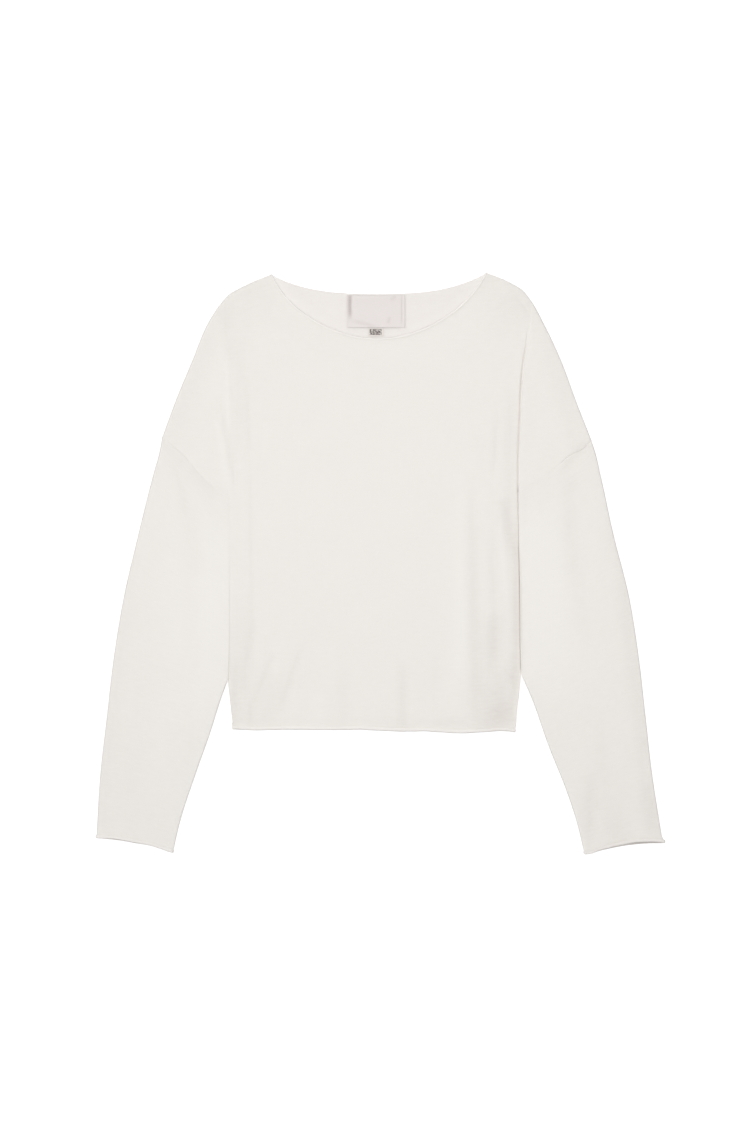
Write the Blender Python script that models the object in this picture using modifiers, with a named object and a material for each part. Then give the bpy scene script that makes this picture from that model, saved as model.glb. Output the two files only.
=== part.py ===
"""Cropped fine-knit sweater, laid flat on its back with the sleeves folded down beside the body.

Metres, +Z up. The underside lies on z = 0, the front faces up and the neck points along +Y.
Every piece is the outer face of the cloth, built from sections, with Solidify for the wall.
"""

from collections import namedtuple
from math import cos, radians, sin

import bmesh
import bpy
import numpy as np

# The cloth
WALL = 0.0012  # thickness of the knit
GAP = 0.0003  # between two pieces at a seam
LAID_HEIGHT = 0.0054  # of both layers, with the air between them
SEAM_HEIGHT = LAID_HEIGHT / 2  # where front and back meet round the edge
EDGE_RADIUS = 0.0026  # how far in from a folded edge the cloth starts to round over
EDGE_STRAIGHT = 0.16  # share of that edge's drop that is straight, next to the seam
CURL_RADIUS = 0.0004  # inside of the roll that a raw knit edge makes
CURL_REACH = CURL_RADIUS + WALL  # from the roll's centre to its outside
LIFT_WIDTH = 0.014  # strip beside a raw edge in which the back rises over its own roll
UNDERARM_FADE = 0.014  # length of side edge over which its drop shrinks to the fold's depth

# The long fold between body and sleeve goes on above the underarm. Rows: share of the way up to the
# shoulder, and depth as a share of a folded edge's full drop.
FRONT_FOLD = ((0.0, 0.50), (0.10, 0.40), (0.40, 0.30), (0.70, 0.18), (1.0, 0.05))
BACK_FOLD = ((0.0, 0.50), (0.04, 0.15), (0.10, 0.0), (0.50, 0.0), (1.0, 0.0))

# Driving sizes of the garment as it lies, from a point in the middle of the chest
ORIGIN = np.array((-0.0003, 0.0012, 0.0))  # of the finished part: the middle of the laid outline
HEM_Y = (-0.1895, -0.1925)  # height of the hem at its left and right end
NECK_CENTRE_X = -0.0030
FRONT_NECK = (0.0702, 1.68)  # depth, and the cosine's power: 2 is a parabola, 1 an ellipse
BACK_NECK = (0.0200, 1.85)
LABEL_SIZE = (0.0665, 0.0380)
LABEL_CENTRE = (-0.0048, 0.2880)
LABEL_THICKNESS = 0.0006
TAB_SIZE = (0.0164, 0.0076)
TAB_CENTRE = (-0.0055, 0.2648)
TAB_THICKNESS = 0.0004

# Mesh counts
NECK_COLUMNS = 11  # from the centre to the neck point
FINE_NECK_COLUMNS = 33  # the same, for measuring how far a place is from the neck edge
YOKE_COLUMNS = 4  # from the neck point to the fold that runs down from the shoulder
SLEEVE_CAP_COLUMNS = 8  # from that fold to the armhole
BODY_ROWS = 13  # from hem to underarm
YOKE_ROWS = 11  # from underarm to shoulder
BACK_SHARE = 0.75  # of those counts that the plainer back gets
EDGE_ANGLES = (30, 60, 90)  # round a folded edge, which then runs straight to its seam
CURL_ANGLES = (-45, 0, 50, 100, 145)  # round a raw edge's roll
SLEEVE_RINGS = 23
EDGE_SHARE = 0.04  # of a ring's width, that its rounded edge keeps to itself
CAP_FADE = 0.16  # share of the sleeve over which its rings straighten from the armhole's curve
CAP_SPREAD = 1.4  # above 1, the columns of the sleeve cap start closer together at the fold
CAP_FOLD = 2 * EDGE_RADIUS  # how far the long fold's dip reaches into the sleeve cap
BOW_ROUNDNESS = 2  # power with which the long fold's bow fades toward the centre
DIP_ROUNDNESS = 1.5  # power with which its dip fades to either side

Half = namedtuple("Half", "sign side shoulder fold_row fold underarm sag cuff outer inner")

# Each half's outline, in short tables. side: (y, x) from hem to underarm. shoulder: (x, y) from the
# neck point to the armhole; fold_row is its row where the long fold starts. fold: (share of the way up
# from the underarm, x). sag: (share of the armhole seam from the shoulder, how far it bows to the
# sleeve). cuff: y of its outer and inner end. outer and inner: (y, x) of the sleeve's two edges.
LEFT = Half(
    sign=-1,
    side=((-0.1900, -0.1672), (-0.1650, -0.1700), (-0.1360, -0.1742), (-0.0950, -0.1728),
          (0.0823, -0.1730)),
    shoulder=((-0.1258, 0.3300), (-0.1420, 0.3244), (-0.1605, 0.3154), (-0.1787, 0.3017),
              (-0.1960, 0.2789), (-0.2153, 0.2331), (-0.2338, 0.1874), (-0.2495, 0.1450)),
    fold_row=3,
    fold=((0.0, -0.1730), (0.28, -0.1735), (0.55, -0.1740), (0.80, -0.1770), (1.0, -0.1800)),
    underarm=(-0.1730, 0.0823),
    sag=((0.0, 0.0), (0.38, 0.0008), (0.65, 0.0060), (0.88, 0.0048), (1.0, 0.0)),
    cuff=(-0.3125, -0.3285),
    outer=((0.1450, -0.2495), (0.1303, -0.2522), (0.1017, -0.2601), (0.0331, -0.2773),
           (-0.0354, -0.2932), (-0.1040, -0.3047), (-0.1726, -0.3127), (-0.2412, -0.3205),
           (-0.3125, -0.3246)),
    inner=((-0.1360, -0.1745), (-0.1554, -0.1820), (-0.1897, -0.1927), (-0.2412, -0.2108),
           (-0.2926, -0.2277), (-0.3285, -0.2360)),
)
RIGHT = Half(
    sign=1,
    side=((-0.1930, 0.1540), (-0.1650, 0.1567), (-0.1270, 0.1607), (-0.0900, 0.1570),
          (0.0823, 0.1573)),
    shoulder=((0.1225, 0.3310), (0.1442, 0.3244), (0.1612, 0.3144), (0.1736, 0.2998),
              (0.1878, 0.2750), (0.2066, 0.2331), (0.2235, 0.1874), (0.2413, 0.1417)),
    fold_row=3,
    fold=((0.0, 0.1573), (0.18, 0.1575), (0.58, 0.1585), (0.76, 0.1632), (1.0, 0.1737)),
    underarm=(0.1573, 0.0823),
    sag=((0.0, 0.0), (0.13, 0.0030), (0.27, 0.0002), (0.45, 0.0010), (1.0, 0.0)),
    cuff=(-0.3140, -0.3300),
    outer=((0.1417, 0.2413), (0.1303, 0.2452), (0.1017, 0.2523), (0.0331, 0.2672), (-0.0354, 0.2841),
           (-0.1040, 0.2956), (-0.1726, 0.3036), (-0.2412, 0.3110), (-0.3140, 0.3242)),
    inner=((-0.1270, 0.1610), (-0.1554, 0.1733), (-0.2069, 0.1915), (-0.2583, 0.2121),
           (-0.2926, 0.2234), (-0.3300, 0.2325)),
)

# Ridges and troughs of the laid cloth: a line from one end to the other, how wide each is to either
# side, and how high (or, below zero, how deep). The wide ones are the swell of the laid garment.
Fold = namedtuple("Fold", "x0 y0 x1 y1 width height")
FOLDS = (
    Fold(0.000, 0.150, 0.000, -0.060, 0.110, 0.0005),  # chest
    Fold(0.139, 0.060, 0.143, -0.200, 0.030, -0.0014),  # right side falls away
    Fold(-0.160, -0.010, -0.158, -0.200, 0.022, -0.0009),  # left side falls away
    Fold(-0.152, 0.215, -0.149, -0.080, 0.007, -0.0006),  # line inside the left fold
    Fold(0.127, 0.080, 0.126, -0.185, 0.007, -0.0007),  # right side creases
    Fold(0.109, 0.010, 0.107, -0.185, 0.007, -0.0006),
    Fold(0.023, -0.135, 0.024, -0.180, 0.008, -0.0007),  # short troughs above the hem
    Fold(-0.047, -0.130, -0.047, -0.170, 0.008, -0.0006),
    Fold(-0.104, -0.130, -0.103, -0.165, 0.008, -0.0006),
    Fold(-0.151, -0.085, -0.152, -0.160, 0.007, -0.0006),
    Fold(-0.243, 0.132, -0.222, 0.080, 0.008, -0.0009),  # sleeve folds below the armhole
    Fold(-0.222, 0.080, -0.216, 0.000, 0.010, -0.0008),
    Fold(0.219, 0.118, 0.220, 0.030, 0.009, -0.0009),
    Fold(0.220, 0.030, 0.224, -0.030, 0.010, -0.0005),
    Fold(-0.206, 0.060, -0.222, -0.200, 0.026, 0.0007),  # crowns of the sleeves
    Fold(0.186, 0.060, 0.215, -0.200, 0.026, 0.0007),
    Fold(-0.290, 0.020, -0.315, -0.300, 0.022, -0.0008),  # outer sides of the sleeves
    Fold(0.280, 0.020, 0.305, -0.300, 0.022, -0.0008),
    Fold(0.170, 0.290, 0.150, 0.284, 0.006, -0.0005),  # small crease at the right shoulder
)

OFF_WHITE = (0.86, 0.84, 0.81, 1.0)
LABEL_WHITE = (0.80, 0.77, 0.76, 1.0)
TAB_GREY = (0.42, 0.41, 0.41, 1.0)


def read_table(table, at):
    """The value of a smooth curve through a table of (place, value) rows, at these places."""
    places, values = np.array(sorted(table), float).T
    slopes = np.gradient(values, places)
    at = np.clip(at, places[0], places[-1])
    row = np.clip(np.searchsorted(places, at) - 1, 0, len(places) - 2)
    span = places[row + 1] - places[row]
    t = (at - places[row]) / span
    return (
        (1 + 2 * t) * (1 - t) ** 2 * values[row]
        + t * (1 - t) ** 2 * span * slopes[row]
        + t * t * (3 - 2 * t) * values[row + 1]
        + t * t * (t - 1) * span * slopes[row + 1]
    )


def blend(a, b, share):
    return np.asarray(a, float) * (1 - share) + np.asarray(b, float) * share


def unit(vector):
    return np.asarray(vector, float) / np.linalg.norm(vector)


def smoothstep(t):
    t = min(max(t, 0.0), 1.0)
    return t * t * (3 - 2 * t)


def edge_profile():
    """Round a folded edge, from the flat cloth to the seam: share of the way out, share of the drop,
    and the normal's share outward and upward."""
    turns = [radians(angle) for angle in EDGE_ANGLES]
    rows = [(sin(t), (1 - cos(t)) * (1 - EDGE_STRAIGHT), sin(t), cos(t)) for t in turns]
    return [*rows, (1.0, 1.0, 1.0, 0.0)]


def row_shares(count):
    """Shares of the way from the underarm (0) to the shoulder (1), closer together at both ends."""
    return [smoothstep(k / count) for k in range(count + 1)]


def swell(x, y):
    """How much higher than flat the laid front is here."""
    total = 0.0
    for fold in FOLDS:
        run = np.array((fold.x1 - fold.x0, fold.y1 - fold.y0))
        from_start = np.array((x - fold.x0, y - fold.y0))
        share = min(max(from_start @ run / (run @ run), 0.0), 1.0)
        away = from_start - share * run
        total += fold.height * np.exp(-(away @ away) / fold.width**2)
    return total


def lift(distance):
    """Height of the underside at this distance from a raw edge, where it rises over its own roll."""
    return (CURL_RADIUS + CURL_REACH) * (1 - smoothstep((distance - CURL_REACH) / LIFT_WIDTH))


def top_height(x, y, under=0.0):
    """Height of the front's outer face, never pressed through the layer below it."""
    return max(LAID_HEIGHT + swell(x, y), under + 2 * WALL + 2 * GAP)


def hem_y(x):
    """Height of the hem up the garment, which lies a little lower on the right."""
    return float(np.interp(x, (LEFT.side[0][1], RIGHT.side[0][1]), HEM_Y))


def neckline(half, depth, roundness, count):
    """The neck edge from its centre to the neck point: places, and ways into the opening."""
    end_x, end_y = half.shoulder[0]
    turns = np.linspace(0, 1, count + 1) * radians(90)
    x = NECK_CENTRE_X + (end_x - NECK_CENTRE_X) * np.sin(turns)
    y = end_y - EDGE_RADIUS - depth * np.cos(turns) ** roundness
    along = np.gradient(np.stack([x, y], 1), axis=0)
    along[0] = (half.sign, 0)
    into = np.stack([-half.sign * along[:, 1], half.sign * along[:, 0]], 1)
    into /= np.linalg.norm(into, axis=1)[:, None]
    return np.stack([x, y], 1), into


def back_neck_distance(x, y):
    """How far a place is from the back's neck edge."""
    edges = [neckline(half, *BACK_NECK, FINE_NECK_COLUMNS)[0] for half in (LEFT, RIGHT)]
    return np.linalg.norm(np.concatenate(edges) - (x, y), axis=1).min()


def shoulder_line(half):
    """The shoulder edge as (distance along it, x) and (distance, y) tables, and the fold's distance."""
    points = np.array(half.shoulder)
    steps = np.linalg.norm(np.diff(points, axis=0), axis=1)
    run = np.concatenate([[0], np.cumsum(steps)])
    return list(zip(run, points[:, 0])), list(zip(run, points[:, 1])), run[half.fold_row], run[-1]


def on_shoulder(half, distance):
    """A place on the shoulder edge, and the direction out of the garment there."""
    x_table, y_table, _, length = shoulder_line(half)
    near = np.clip([distance - 0.002, distance + 0.002], 0, length)
    dx, dy = np.diff(read_table(x_table, near))[0], np.diff(read_table(y_table, near))[0]
    place = np.array((read_table(x_table, distance), read_table(y_table, distance)))
    return place, unit((-half.sign * dy, half.sign * dx))


def armhole(half, share):
    """A place on the armhole seam, from the shoulder (0) to the underarm (1), and the way out of it."""
    start, end = np.array(half.shoulder[-1]), np.array(half.underarm)
    dx, dy = unit(end - start)
    to_sleeve = half.sign * np.array((-dy, dx))
    return blend(start, end, share) + to_sleeve * read_table(half.sag, share), to_sleeve


class Panel:
    """One body panel: its points by (column, row), then its mesh. Columns count out from the centre,
    below zero on the left, and rows count up from the hem."""

    def __init__(self, faces_up, neck, long_fold, share=1.0):
        self.faces_up = faces_up
        self.neck = neck
        self.long_fold = long_fold
        self.neck_columns = round(NECK_COLUMNS * share)
        self.flat_columns = self.neck_columns + max(round(YOKE_COLUMNS * share), 2)
        self.fold_column = self.flat_columns + len(edge_profile())
        self.cap_columns = round(SLEEVE_CAP_COLUMNS * share)
        self.cap_shares = [(k / self.cap_columns) ** CAP_SPREAD for k in range(1, self.cap_columns + 1)]
        self.body_rows = round(BODY_ROWS * share)
        self.yoke_rows = round(YOKE_ROWS * share)
        self.shares = row_shares(self.yoke_rows)
        self.top_row = self.body_rows + self.yoke_rows
        self.points = {}
        self.normals = {}
        self.outward = {}

    def height(self, x, y, drop):
        """Height of the outer face, lowered (or raised, on the back) by its share of the edge's drop."""
        under = self.under(x, y)
        rim = self.rim(x, y)
        if self.faces_up:
            return blend(top_height(x, y, under), rim, drop)
        return blend(under, rim, drop)

    def under(self, x, y):
        return max(lift(y - hem_y(x)), lift(back_neck_distance(x, y)))

    def rim(self, x, y):
        """Height of this panel's side of the seam round the edge."""
        return SEAM_HEIGHT + self.under(x, y) / 2 + (GAP / 2 if self.faces_up else -GAP / 2)

    def put(self, half, column, row, place, drop=0.0, normal=(0, 0, 1), outward=(0, 0)):
        x, y = place
        z = self.height(x, y, drop)
        key = (half.sign * column, row)
        up = 1 if self.faces_up else -1
        self.points[key] = np.array((x, y, z))
        self.normals[key] = unit((normal[0], normal[1], normal[2] * up))
        self.outward[key] = np.array((outward[0], outward[1], 0.0))

    def top_edge(self, half):
        """Where each column ends at the neck or shoulder: inset place, outline place, way out."""
        places, into = neckline(half, *self.neck, self.neck_columns)
        neck = [(place - way * CURL_REACH, place, way) for place, way in zip(places[:-1], into)]
        _, _, fold_at, length = shoulder_line(half)
        yoke = np.linspace(CURL_REACH, fold_at - EDGE_RADIUS, self.flat_columns - self.neck_columns + 1)
        groove = np.linspace(fold_at - EDGE_RADIUS, fold_at, len(edge_profile()) + 1)[1:]
        cap = [blend(fold_at, length, share) for share in self.cap_shares]
        shoulder = [on_shoulder(half, distance) for distance in (*yoke, *groove, *cap)]
        return neck + [(place - way * EDGE_RADIUS, place, way) for place, way in shoulder]

    def lower_rows(self, half):
        """Hem to underarm: straight rows from the centre to the side edge."""
        low, high = HEM_Y[half.sign > 0] + CURL_REACH, half.underarm[1]
        for row in range(self.body_rows + 1):
            up = row / self.body_rows
            y = blend(low, high, up)
            edge = read_table(half.side, y) - half.sign * GAP / 2
            start = edge - half.sign * EDGE_RADIUS
            drop = blend(1, self.long_fold[0][1], smoothstep(1 - (high - y) / UNDERARM_FADE))
            for column in range(self.flat_columns + 1):
                x = blend(NECK_CENTRE_X, start, column / self.flat_columns)
                level = y if row else hem_y(x) + CURL_REACH
                self.put(half, column, row, (x, level), outward=(0, -1))
            for k, (over, down, out, up_share) in enumerate(edge_profile()):
                place = (start + half.sign * EDGE_RADIUS * over, y)
                self.put(half, self.flat_columns + 1 + k, row, place, drop * down,
                         (half.sign * out, 0, up_share), (0, -1))

    def upper_rows(self, half):
        """Underarm to shoulder: rows that bend up to neck and shoulder, and the cap past the fold."""
        ends = self.top_edge(half)
        corner = self.points[(half.sign * self.fold_column, self.body_rows)][:2]
        fold_top = ends[self.fold_column][0]
        for row in range(self.body_rows + 1, self.top_row + 1):
            up = self.shares[row - self.body_rows]
            fold_x = read_table(half.fold, up)
            bow = np.array((fold_x - blend(half.fold[0][1], half.fold[-1][1], up), 0.0))
            depth = max(read_table(self.long_fold, up), 0.0)
            for column in range(self.fold_column + 1):
                base = self.points[(half.sign * column, self.body_rows)][:2]
                bowed = bow * min(column / self.flat_columns, 1) ** BOW_ROUNDNESS
                inside = (self.fold_column - column) / len(edge_profile())
                self.put(half, column, row, blend(base, ends[column][0], up) + bowed,
                         depth * max(1 - inside, 0) ** DIP_ROUNDNESS)
            for k, share in enumerate(self.cap_shares, 1):
                seam, to_sleeve = armhole(half, 1 - up)
                straight = blend(half.underarm, half.shoulder[-1], up)
                place = blend(corner, ends[self.fold_column + k][0], up)
                place = place + bow * (1 - share) + (seam - straight) * share
                if k == self.cap_columns:
                    place = place - to_sleeve * GAP / 2
                away = np.linalg.norm(place - blend(corner, fold_top, up))
                near = max(1 - away / CAP_FOLD, 0) ** DIP_ROUNDNESS
                self.put(half, self.fold_column + k, row, place, depth * near)
        self.round_shoulder(half, ends)

    def round_shoulder(self, half, ends):
        """The rows that carry the shoulder edge down to its seam."""
        for column in range(self.neck_columns, len(ends)):
            base = self.points[(half.sign * column, self.top_row)]
            inset, place, out = ends[column]
            for k, (over, down, outward, upward) in enumerate(edge_profile()):
                row = self.top_row + 1 + k
                self.put(half, column, row, base[:2] + (place - inset) * over, down,
                         (*(out * outward), upward))
                self.points[(half.sign * column, row)][2] = blend(base[2], self.rim(*base[:2]), down)

    def raw_edges(self, half):
        """Ways out of the cloth along the neckline, for the roll that continues it."""
        _, into = neckline(half, *self.neck, self.neck_columns)
        for (column, row) in self.points:
            steps = half.sign * column
            if row >= self.top_row and 0 <= steps <= self.neck_columns:
                self.outward[(column, row)] = np.array((*into[steps], 0.0))

    def faces(self):
        """Quads between neighbouring points, triangles where the cap runs to its corner, and rolls."""
        found = []
        for column, row in self.points:
            corners = [(column, row), (column + 1, row), (column + 1, row + 1), (column, row + 1)]
            if all(key in self.points for key in corners):
                found.append([self.points[key] for key in corners])
        for sign in (-1, 1):
            underarm = self.points[(sign * self.fold_column, self.body_rows)]
            for column in range(self.fold_column, self.fold_column + self.cap_columns):
                pair = [self.points[(sign * c, self.body_rows + 1)] for c in (column, column + 1)]
                found.append([underarm, *pair])
        return found

    def rolls(self):
        """The bands of faces that curl over at the hem and the neckline."""
        last = self.fold_column
        hem = [(column, 0) for column in range(-last, last + 1)]
        rise = [(self.neck_columns, self.top_row + k) for k in range(len(edge_profile()), 0, -1)]
        neck = [(-c, r) for c, r in rise]
        neck += [(c, self.top_row) for c in range(-self.neck_columns, self.neck_columns + 1)]
        neck += rise[::-1]
        for path in (hem, neck):
            yield from curl([self.points[k] for k in path], [self.outward[k] for k in path],
                            [self.normals[k] for k in path])


def curl(points, outward, normals, closed=False):
    """Faces that carry an edge round into a roll on the outer side of the cloth."""
    bands = [list(points)]
    for angle in CURL_ANGLES:
        turn = radians(angle)
        bands.append([
            p + out * CURL_RADIUS * cos(turn) + n * CURL_RADIUS * (1 + sin(turn))
            for p, out, n in zip(points, outward, normals)
        ])
    count = len(points)
    for near, far in zip(bands, bands[1:]):
        for k in range(count if closed else count - 1):
            following = (k + 1) % count
            yield [near[k], near[following], far[following], far[k]]


def sleeve_inner_x(half, y):
    """The sleeve's inner edge: beside the body down to where they part, then on its own."""
    if y > half.inner[0][0]:
        return read_table(half.side, y) + half.sign * GAP / 2
    return read_table(half.inner, y) + half.sign * GAP / 2


def sleeve_ring(half, share):
    """One section of the flattened sleeve tube, from shoulder (0) to cuff (1): its points and normals
    from the outer edge over the top and back underneath, and the direction across it."""
    outer_y = blend(half.shoulder[-1][1], half.cuff[0], share)
    inner_y = blend(half.underarm[1], half.cuff[1], share)
    start = np.array((read_table(half.outer, outer_y), outer_y))
    end = np.array((sleeve_inner_x(half, inner_y), inner_y))
    width = np.linalg.norm(end - start)
    across = (end - start) / width
    under = lift(outer_y - half.cuff[0])
    middle = SEAM_HEIGHT + under / 2
    bow = max(1 - share / CAP_FADE, 0) ** 2
    _, to_sleeve = armhole(half, 0)

    def spot(distance):
        shift = read_table(half.sag, distance / width) * bow + (GAP / 2 if share == 0 else 0)
        return start + across * distance + to_sleeve * shift

    def over(distance):
        return top_height(*spot(distance), under)

    def round_edge(centre, angles):
        """Points round a folded edge, with the angle counted from straight out to the inner side."""
        for angle in angles:
            turn = radians(angle)
            reach = over(centre) - middle if angle % 360 <= 180 else middle - under
            yield centre + EDGE_RADIUS * cos(turn), middle + reach * sin(turn), cos(turn), sin(turn)

    def flat(count):
        """Distances across that fall on the panel's own points at the armhole."""
        return [across * width for across in row_shares(count) if EDGE_SHARE < across < 1 - EDGE_SHARE]

    step = EDGE_ANGLES[0]
    outline = [
        *round_edge(EDGE_RADIUS, range(180, 89, -step)),
        *((d, over(d), 0, 1) for d in flat(YOKE_ROWS)),
        *round_edge(width - EDGE_RADIUS, range(90, -91, -step)),
        *((d, under, 0, -1) for d in reversed(flat(round(YOKE_ROWS * BACK_SHARE)))),
        *round_edge(EDGE_RADIUS, range(270, 181, -step)),
    ]
    points = [np.array((*spot(distance), z)) for distance, z, _, _ in outline]
    normals = [np.array((*(across * sideways), upward)) for _, _, sideways, upward in outline]
    return points, normals, across


def sleeve_faces(half):
    """The sleeve as rings joined into a tube, with the cuff's roll."""
    last = 1 - CURL_REACH / (half.shoulder[-1][1] - half.cuff[0])
    rings = [sleeve_ring(half, share) for share in np.linspace(0, last, SLEEVE_RINGS)]
    faces = []
    for (near, _, _), (far, _, _) in zip(rings, rings[1:]):
        count = len(near)
        faces += [[near[k - 1], near[k], far[k], far[k - 1]] for k in range(count)]
    points, normals, across = rings[-1]
    to_hand = np.array((-half.sign * across[1], half.sign * across[0], 0.0))
    faces += list(curl(points, [to_hand] * len(points), normals, closed=True))
    return faces


def patch_faces(size, centre, height, columns=8, rows=4):
    """A flat rectangle of cloth whose points lie over the back panel's inner face."""
    xs = centre[0] + np.linspace(-0.5, 0.5, columns + 1) * size[0]
    ys = centre[1] + np.linspace(-0.5, 0.5, rows + 1) * size[1]
    points = [[np.array((x, y, height(x, y))) for x in xs] for y in ys]
    return [
        [points[r][c], points[r][c + 1], points[r + 1][c + 1], points[r + 1][c]]
        for r in range(rows) for c in range(columns)
    ]


def make_material(name, colour, roughness):
    material = bpy.data.materials.new(name)
    material.use_nodes = True
    shader = material.node_tree.nodes["Principled BSDF"]
    shader.inputs["Base Color"].default_value = colour
    shader.inputs["Roughness"].default_value = roughness
    shader.inputs["Metallic"].default_value = 0.0
    return material


def make_piece(name, faces, collection, material, faces_up, thickness=WALL, inward=True):
    """An object from the faces of its outer side, with the wall grown behind them."""
    bm = bmesh.new()
    for corners in faces:
        bm.faces.new([bm.verts.new(corner - ORIGIN) for corner in corners])
    bmesh.ops.remove_doubles(bm, verts=bm.verts, dist=1e-7)
    bmesh.ops.recalc_face_normals(bm, faces=bm.faces)
    highest = max(bm.faces, key=lambda face: abs(face.normal.z) * face.calc_area())
    is_up = highest.normal.z > 0
    wanted = highest.calc_center_median().z > SEAM_HEIGHT if faces_up is None else faces_up
    if is_up != wanted:
        bmesh.ops.reverse_faces(bm, faces=bm.faces)
    mesh = bpy.data.meshes.new(name)
    bm.to_mesh(mesh)
    bm.free()
    mesh.shade_smooth()
    mesh.materials.append(material)
    piece = bpy.data.objects.new(name, mesh)
    collection.objects.link(piece)
    wall = piece.modifiers.new("wall", "SOLIDIFY")
    wall.thickness = thickness
    wall.offset = -1.0 if inward else 1.0
    return piece


def main():
    for old in list(bpy.data.objects):
        bpy.data.objects.remove(old, do_unlink=True)
    collection = bpy.data.collections.new("cropped_knit_sweater")
    bpy.context.scene.collection.children.link(collection)
    knit = make_material("fine_knit", OFF_WHITE, 0.9)
    satin = make_material("label_satin", LABEL_WHITE, 0.45)
    tape = make_material("tab_tape", TAB_GREY, 0.6)

    front = Panel(True, FRONT_NECK, FRONT_FOLD)
    back = Panel(False, BACK_NECK, BACK_FOLD, BACK_SHARE)
    for panel, name in ((front, "front_panel"), (back, "back_panel")):
        for half in (LEFT, RIGHT):
            panel.lower_rows(half)
            panel.upper_rows(half)
            panel.raw_edges(half)
        make_piece(name, [*panel.faces(), *panel.rolls()], collection, knit, panel.faces_up)
    make_piece("sleeve_left", sleeve_faces(LEFT), collection, knit, None)
    make_piece("sleeve_right", sleeve_faces(RIGHT), collection, knit, None)

    def over_back(x, y):
        return back.height(x, y, 0.0) + WALL + 2 * GAP

    label = patch_faces(LABEL_SIZE, LABEL_CENTRE, over_back)
    make_piece("neck_label", label, collection, satin, True, LABEL_THICKNESS, inward=False)
    tab = patch_faces(TAB_SIZE, TAB_CENTRE, over_back, columns=4, rows=2)
    make_piece("size_tab", tab, collection, tape, True, TAB_THICKNESS, inward=False)


main()
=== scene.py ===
import math

import bmesh
import bpy
import numpy as np
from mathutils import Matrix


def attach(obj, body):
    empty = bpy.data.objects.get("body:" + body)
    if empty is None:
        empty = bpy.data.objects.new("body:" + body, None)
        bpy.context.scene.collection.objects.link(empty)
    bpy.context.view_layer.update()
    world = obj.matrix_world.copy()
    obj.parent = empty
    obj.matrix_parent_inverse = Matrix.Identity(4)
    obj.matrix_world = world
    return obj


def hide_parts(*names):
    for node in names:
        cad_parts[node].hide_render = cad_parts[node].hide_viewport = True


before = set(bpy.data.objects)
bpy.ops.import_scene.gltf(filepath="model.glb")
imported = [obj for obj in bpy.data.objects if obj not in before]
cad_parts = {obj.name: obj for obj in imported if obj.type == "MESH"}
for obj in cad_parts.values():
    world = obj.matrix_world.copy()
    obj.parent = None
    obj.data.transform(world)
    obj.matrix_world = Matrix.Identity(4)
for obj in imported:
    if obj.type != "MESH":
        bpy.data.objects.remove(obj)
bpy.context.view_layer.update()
scene = bpy.context.scene
print(len(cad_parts), "nodes of the packed model loaded")


# how the sweater lies, in metres
lay = {
    "origin": (-0.0003, 0.0012),  # where the frame's origin is in the sizes below
    "wall": 0.0009,  # thickness of the knit
    "layersHeight": 0.0054,  # both layers, with the air between them
    "leastAir": 0.00012,  # between the layers where the front lies on the back
    "labelAir": 0.0002,  # between the back and a label
    "seamGap": 0.00005,  # between two pieces at a seam
    "fallWidth": 0.024,  # strips beside the long fold in which the body falls and the sleeve rises
    "raiseWidth": 0.036,
    "edgeRadius": 0.0026,  # how far in from a folded edge the cloth starts to round over
    "pointRound": (0.4, 0.03),  # its share at the neck point, and the way to its full size
    "rollRadius": 0.00130,  # inside of the roll that a raw edge makes
    "rollFlat": 0.12,  # its height as a share of its width
    "rollEnd": 166,  # degrees that the roll comes round to
    "rollLoose": (0.18, 10),  # how much its size (share) and its end (degrees) change along the edge
    "rollSteps": 12,
    "neckRadius": 0.00065,  # inside of the roll at the neckline
    "neckTaper": (0.10, 0.075),  # its share at the neck point, and the way to its full size
    "neckTurn": 0.009,  # last stretch of the neckline, in which it turns square to the shoulder
    "neckCentre": -0.0030,
    "neckSteps": 900,  # fine steps in which its line is measured
    "liftWidth": 0.014,  # strip beside a raw edge in which the back rises over its own roll
    "neckSettle": (0.040, 0.9),  # strip in which the front comes down to its neckline, and how far
    "openingFade": 0.008,  # length in which the side's painted shade sets in above its opening at the hem
    "backDent": (0.4, 12),  # how deep the back's short dent at the underarm is, and how soon it ends
    "sharpAngle": 55,  # degrees, from which an edge is sharp
    "sideFade": 0.012,  # length of body side over which its drop turns into the long fold's
    "hemPeep": 0.0006,  # how far the back shows below the front's hem
}
lay["seamHeight"] = lay["layersHeight"] / 2
lay["rollReach"] = lay["rollRadius"] + lay["wall"]
lay["rollHeight"] = lay["wall"] + 2 * lay["rollRadius"] * lay["rollFlat"] + 0.0001

# How much painted highlight or painted shade the knit's colour gets in places. 1 is what a ridge as
# high as "height" gets.
shading = {
    "height": 0.0010,
    "range": (-1.8, 0.8),  # deepest trough and highest ridge that count
    "widest": 50,  # wider creases, in millimetres, don't count
    "shut": 2.6,  # painted shade where a fold closes on itself
    "hemBand": 0.010,  # painted highlight strips above the hem and the cuffs
    "cuffBand": 0.010,
    "backBand": (0.6, 0.014),  # painted highlight on the back beside the front's neckline: how much, how wide
    "neckLine": 0.003,  # strip right beside it, which neckShine gives a painted highlight
    "neckPoint": 0.085,  # how far from the neck point neckShine reaches
    "peep": (0.0020, 0.006),  # painted shade on the lower layer showing at a cuff: how much shows at full shade, and the strip shaded
}
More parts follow.
